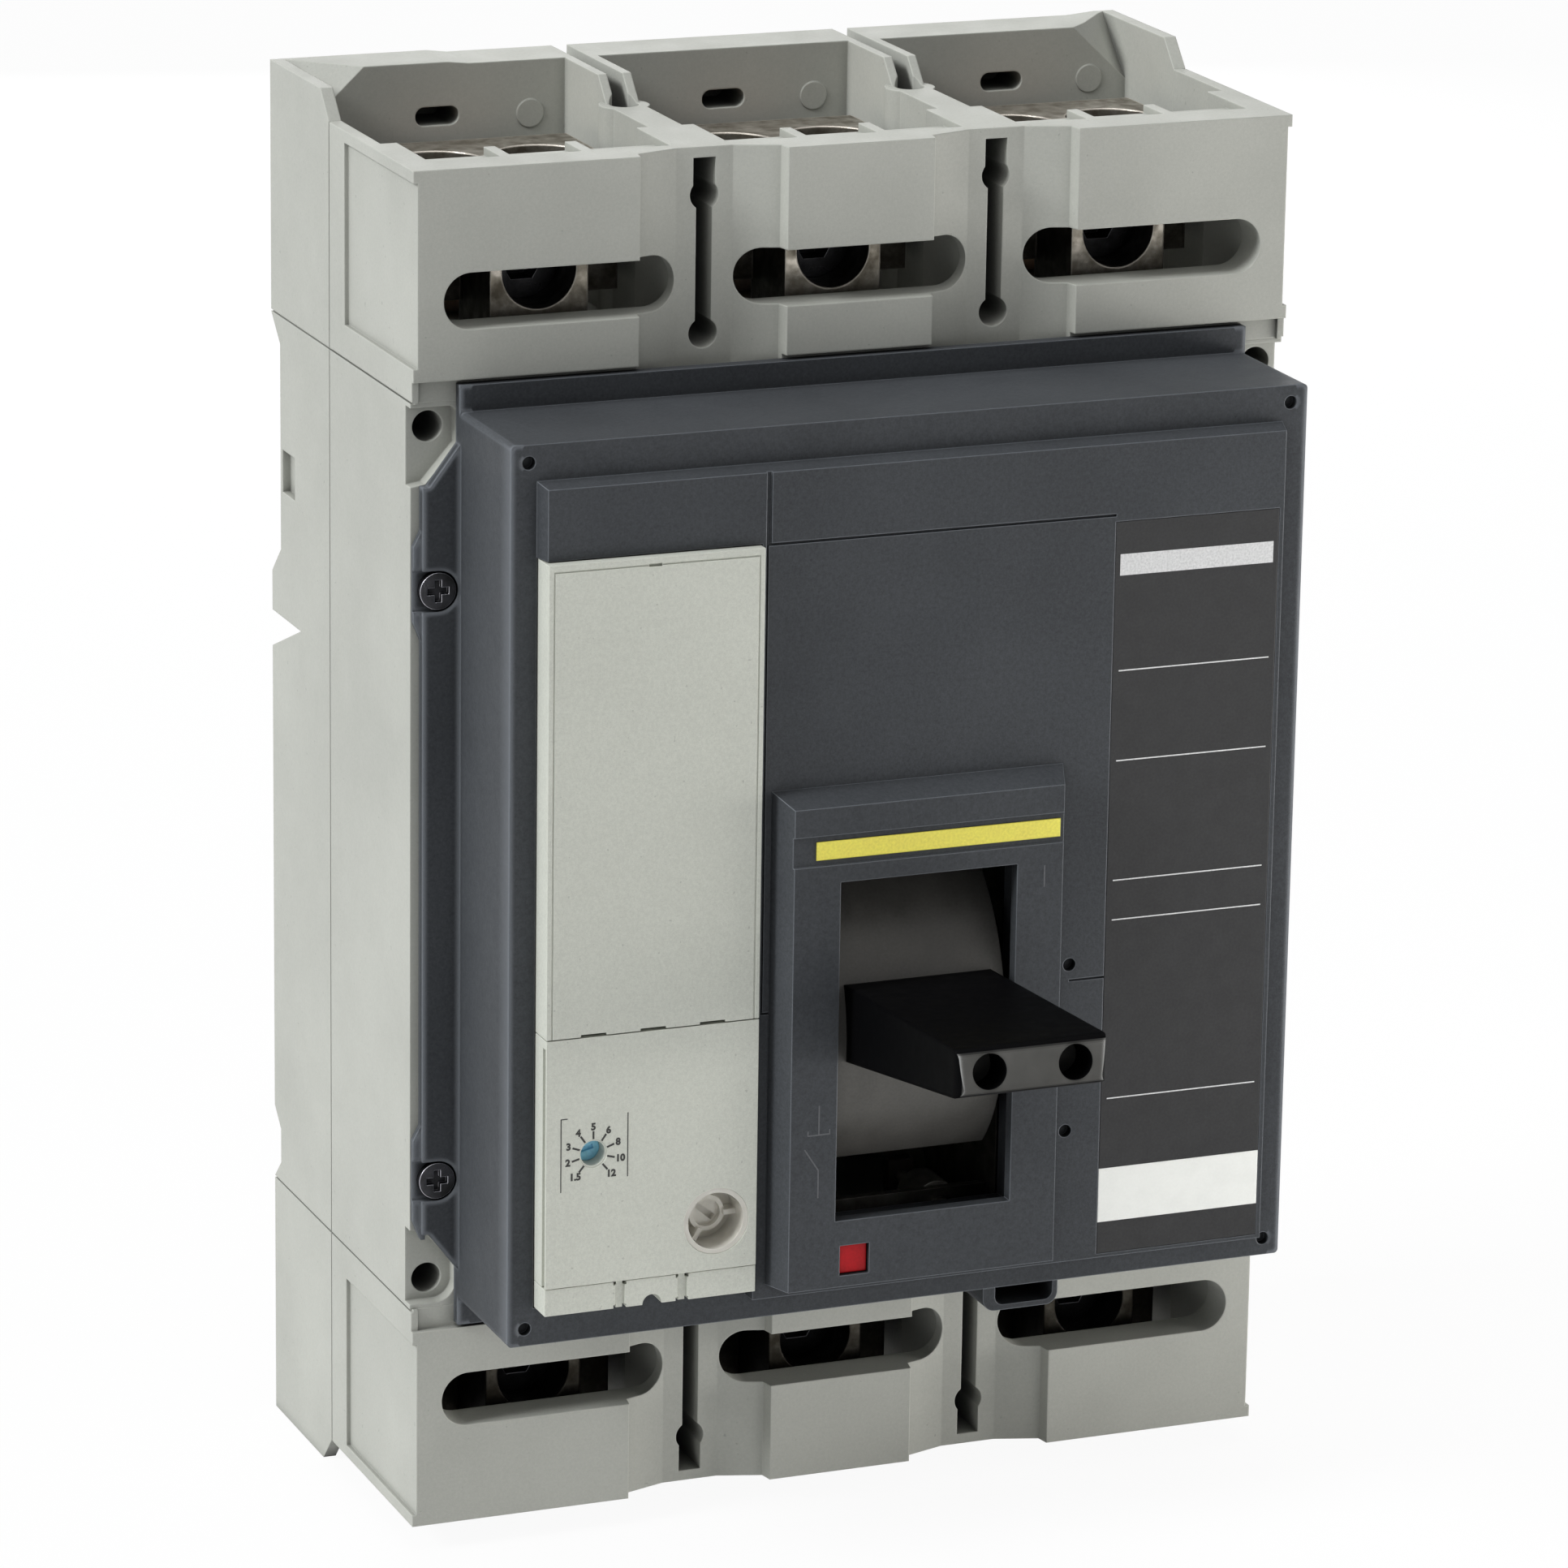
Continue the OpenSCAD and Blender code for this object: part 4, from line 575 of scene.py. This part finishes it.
def print_escutcheon_marks():
    """The on bar and the switch sign, pressed faintly into the escutcheon, drawn as thin bars in a pale
    tone that paints the light caught by the pressed lines.
    """
    depth = face_depth("toggle_escutcheon")
    on_x, on_z, on_length = ON_BAR
    cross_z, cross_length = CROSS_BAR
    end_z, end_side, end_length = CROSS_END
    blade_x, blade_z, blade_length, blade_turn = BLADE
    bars = [((on_x, depth, on_z), (MARK_LINE, on_length)),
            ((SIGN_X, depth, UPPER_CONTACT_Z), (MARK_LINE, CONTACT_LENGTH)),
            ((SIGN_X, depth, cross_z), (cross_length, MARK_LINE))]
    for side in (-end_side, end_side):
        bars.append(((SIGN_X + side, depth, end_z), (MARK_LINE, end_length)))
    bars.append(((blade_x, depth, blade_z), (MARK_LINE, blade_length), math.radians(blade_turn)))
    bars.append(((SIGN_X, depth, LOWER_CONTACT_Z), (MARK_LINE, CONTACT_LENGTH)))
    print_bars("escutcheon_marks", LINE_HIGHLIGHT_INK, bars)


# ---------------------------------------------------------------- the button's spring

def button_coil():
    """The coil behind the red button: a copy of the spring's mesh, riding on the case in place of the
    spring.
    """
    coil = bpy.data.objects.new("button_coil", NODES["button_spring"].data.copy())
    bpy.context.scene.collection.objects.link(coil)
    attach(coil, "case")
    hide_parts("button_spring")
    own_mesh(coil)


# ---------------------------------------------------------------- floor and world

# Half the floor's side, in metres.
FLOOR_REACH = 6.0
# Share of plain white in the floor as the camera sees it; the rest is lit, and shows the shadow.
FLOOR_WHITE = 0.94
WORLD_TONE = (0.95, 0.97, 1.0, 1)
WORLD_STRENGTH = 0.16


def show_white(tree, lit, into, share):
    """Lets camera, glossy and transmitted rays see white by a share, and all other rays the lit shader."""
    path = tree.nodes.new("ShaderNodeLightPath")
    seen = path.outputs["Is Camera Ray"]
    for kind in ("Is Glossy Ray", "Is Transmission Ray"):
        either = tree.nodes.new("ShaderNodeMath")
        either.operation = "MAXIMUM"
        tree.links.new(seen, either.inputs[0])
        tree.links.new(path.outputs[kind], either.inputs[1])
        seen = either.outputs[0]
    part = tree.nodes.new("ShaderNodeMath")
    part.operation = "MULTIPLY"
    part.inputs[1].default_value = share
    tree.links.new(seen, part.inputs[0])
    white = tree.nodes.new("ShaderNodeEmission")
    white.inputs["Strength"].default_value = 1.0
    blend = tree.nodes.new("ShaderNodeMixShader")
    tree.links.new(part.outputs[0], blend.inputs[0])
    tree.links.new(lit, blend.inputs[1])
    tree.links.new(white.outputs[0], blend.inputs[2])
    tree.links.new(blend.outputs[0], into)


def lay_floor():
    r = FLOOR_REACH
    mesh = bpy.data.meshes.new("floor")
    mesh.from_pydata([(-r, -r, 0), (r, -r, 0), (r, r, 0), (-r, r, 0)], [], [(0, 1, 2, 3)])
    floor = bpy.data.objects.new("floor", mesh)
    floor.location.z = cad_box[0].z
    bpy.context.scene.collection.objects.link(floor)
    look = Look("floor_paper", 0.8, Specular_IOR_Level=0.1)
    look.colour(look.ramp(look.noise(60, 3), (0.3, 0.90), (0.7, 0.92)))
    surface = look.tree.nodes["Material Output"].inputs["Surface"]
    show_white(look.tree, look.bsdf.outputs[0], surface, FLOOR_WHITE)
    mesh.materials.append(look.mat)


def light_world():
    world = bpy.data.worlds.new("studio")
    bpy.context.scene.world = world
    world.use_nodes = True
    sky = world.node_tree.nodes["Background"]
    sky.inputs["Color"].default_value = WORLD_TONE
    sky.inputs["Strength"].default_value = WORLD_STRENGTH
    surface = world.node_tree.nodes["World Output"].inputs["Surface"]
    show_white(world.node_tree, sky.outputs[0], surface, 1.0)


# ---------------------------------------------------------------- lamps and camera

def toward(azimuth, elevation):
    """Direction from the object to a place; azimuth 0 is in front, and it grows to the object's right."""
    a, e = math.radians(azimuth), math.radians(elevation)
    return Vector((math.sin(a) * math.cos(e), -math.cos(a) * math.cos(e), math.sin(e)))


def hang(name, lamp, back, distance=0.0):
    """Puts a lamp out along a direction, looking back at the middle of the object."""
    holder = bpy.data.objects.new(name, lamp)
    holder.location = back * distance
    holder.rotation_mode = "QUATERNION"
    holder.rotation_quaternion = (-back).to_track_quat("-Z", "Y")
    bpy.context.scene.collection.objects.link(holder)
    return holder


def softbox(name, azimuth, elevation, distance, size, watts, tone=(1, 1, 1)):
    """An area lamp that the camera doesn't see."""
    lamp = bpy.data.lights.new(name, "AREA")
    lamp.shape = "RECTANGLE"
    lamp.size, lamp.size_y = size
    lamp.energy = watts
    lamp.color = tone
    hang(name, lamp, toward(azimuth, elevation), distance).visible_camera = False


def sun(name, azimuth, elevation, strength, spread, tone):
    """A far key light, so that the floor is lit evenly."""
    lamp = bpy.data.lights.new(name, "SUN")
    lamp.energy = strength
    lamp.angle = math.radians(spread)
    lamp.color = tone
    hang(name, lamp, toward(azimuth, elevation))


WARM = (1.0, 0.98, 0.95)
COOL = (0.97, 0.99, 1.0)


def light_studio():
    """Azimuth, elevation and spread are in degrees, distances and sizes in metres, softboxes in watts."""
    sun("key_left", -84, 36, 2.52, 18, COOL)
    softbox("low_right", 65, -6, 0.6, (0.3, 0.14), 1.6, WARM)
    softbox("low_front", 28, -5, 0.8, (0.5, 0.14), 0.5, WARM)
    softbox("high_front", -25, 55, 1.6, (0.8, 0.8), 2.2)
    softbox("top", -10, 82, 1.7, (1.0, 0.8), 6.5)
    softbox("behind", 165, 12, 1.6, (0.9, 0.9), 7.0)


# Angles in degrees, distances in metres, lens and sensor in mm.
CAMERA_AZIMUTH = -21.99
CAMERA_ELEVATION = 16.21
CAMERA_ROLL = 0.867
CAMERA_DISTANCE = 1.7977
CAMERA_ASIDE = (0.02185, -0.0175)
CAMERA_FAR = 50
CAMERA_LENS = 172.91
CAMERA_SENSOR = 36


def place_camera():
    """The photograph's view: the camera looks along its direction, from a place moved right and down."""
    back = toward(CAMERA_AZIMUTH, CAMERA_ELEVATION)
    azimuth = math.radians(CAMERA_AZIMUTH)
    turned = Matrix.Rotation(math.radians(CAMERA_ROLL), 3, back)
    right = turned @ Vector((math.cos(azimuth), math.sin(azimuth), 0))
    up = back.cross(right)
    lens = bpy.data.cameras.new("camera")
    lens.sensor_width = CAMERA_SENSOR
    lens.lens = CAMERA_LENS
    lens.clip_end = CAMERA_FAR
    camera = bpy.data.objects.new("camera", lens)
    camera.matrix_world = Matrix((right, up, back)).transposed().to_4x4()
    camera.location = back * CAMERA_DISTANCE + right * CAMERA_ASIDE[0] + up * CAMERA_ASIDE[1]
    bpy.context.scene.collection.objects.link(camera)
    bpy.context.scene.camera = camera
    bpy.context.scene.view_settings.view_transform = "Standard"


# ---------------------------------------------------------------- build

paint_plastics()
paint_films()
paint_metals()
print_dial_scale()
print_label_form()
print_escutcheon_marks()
button_coil()
lay_floor()
light_world()
light_studio()
place_camera()
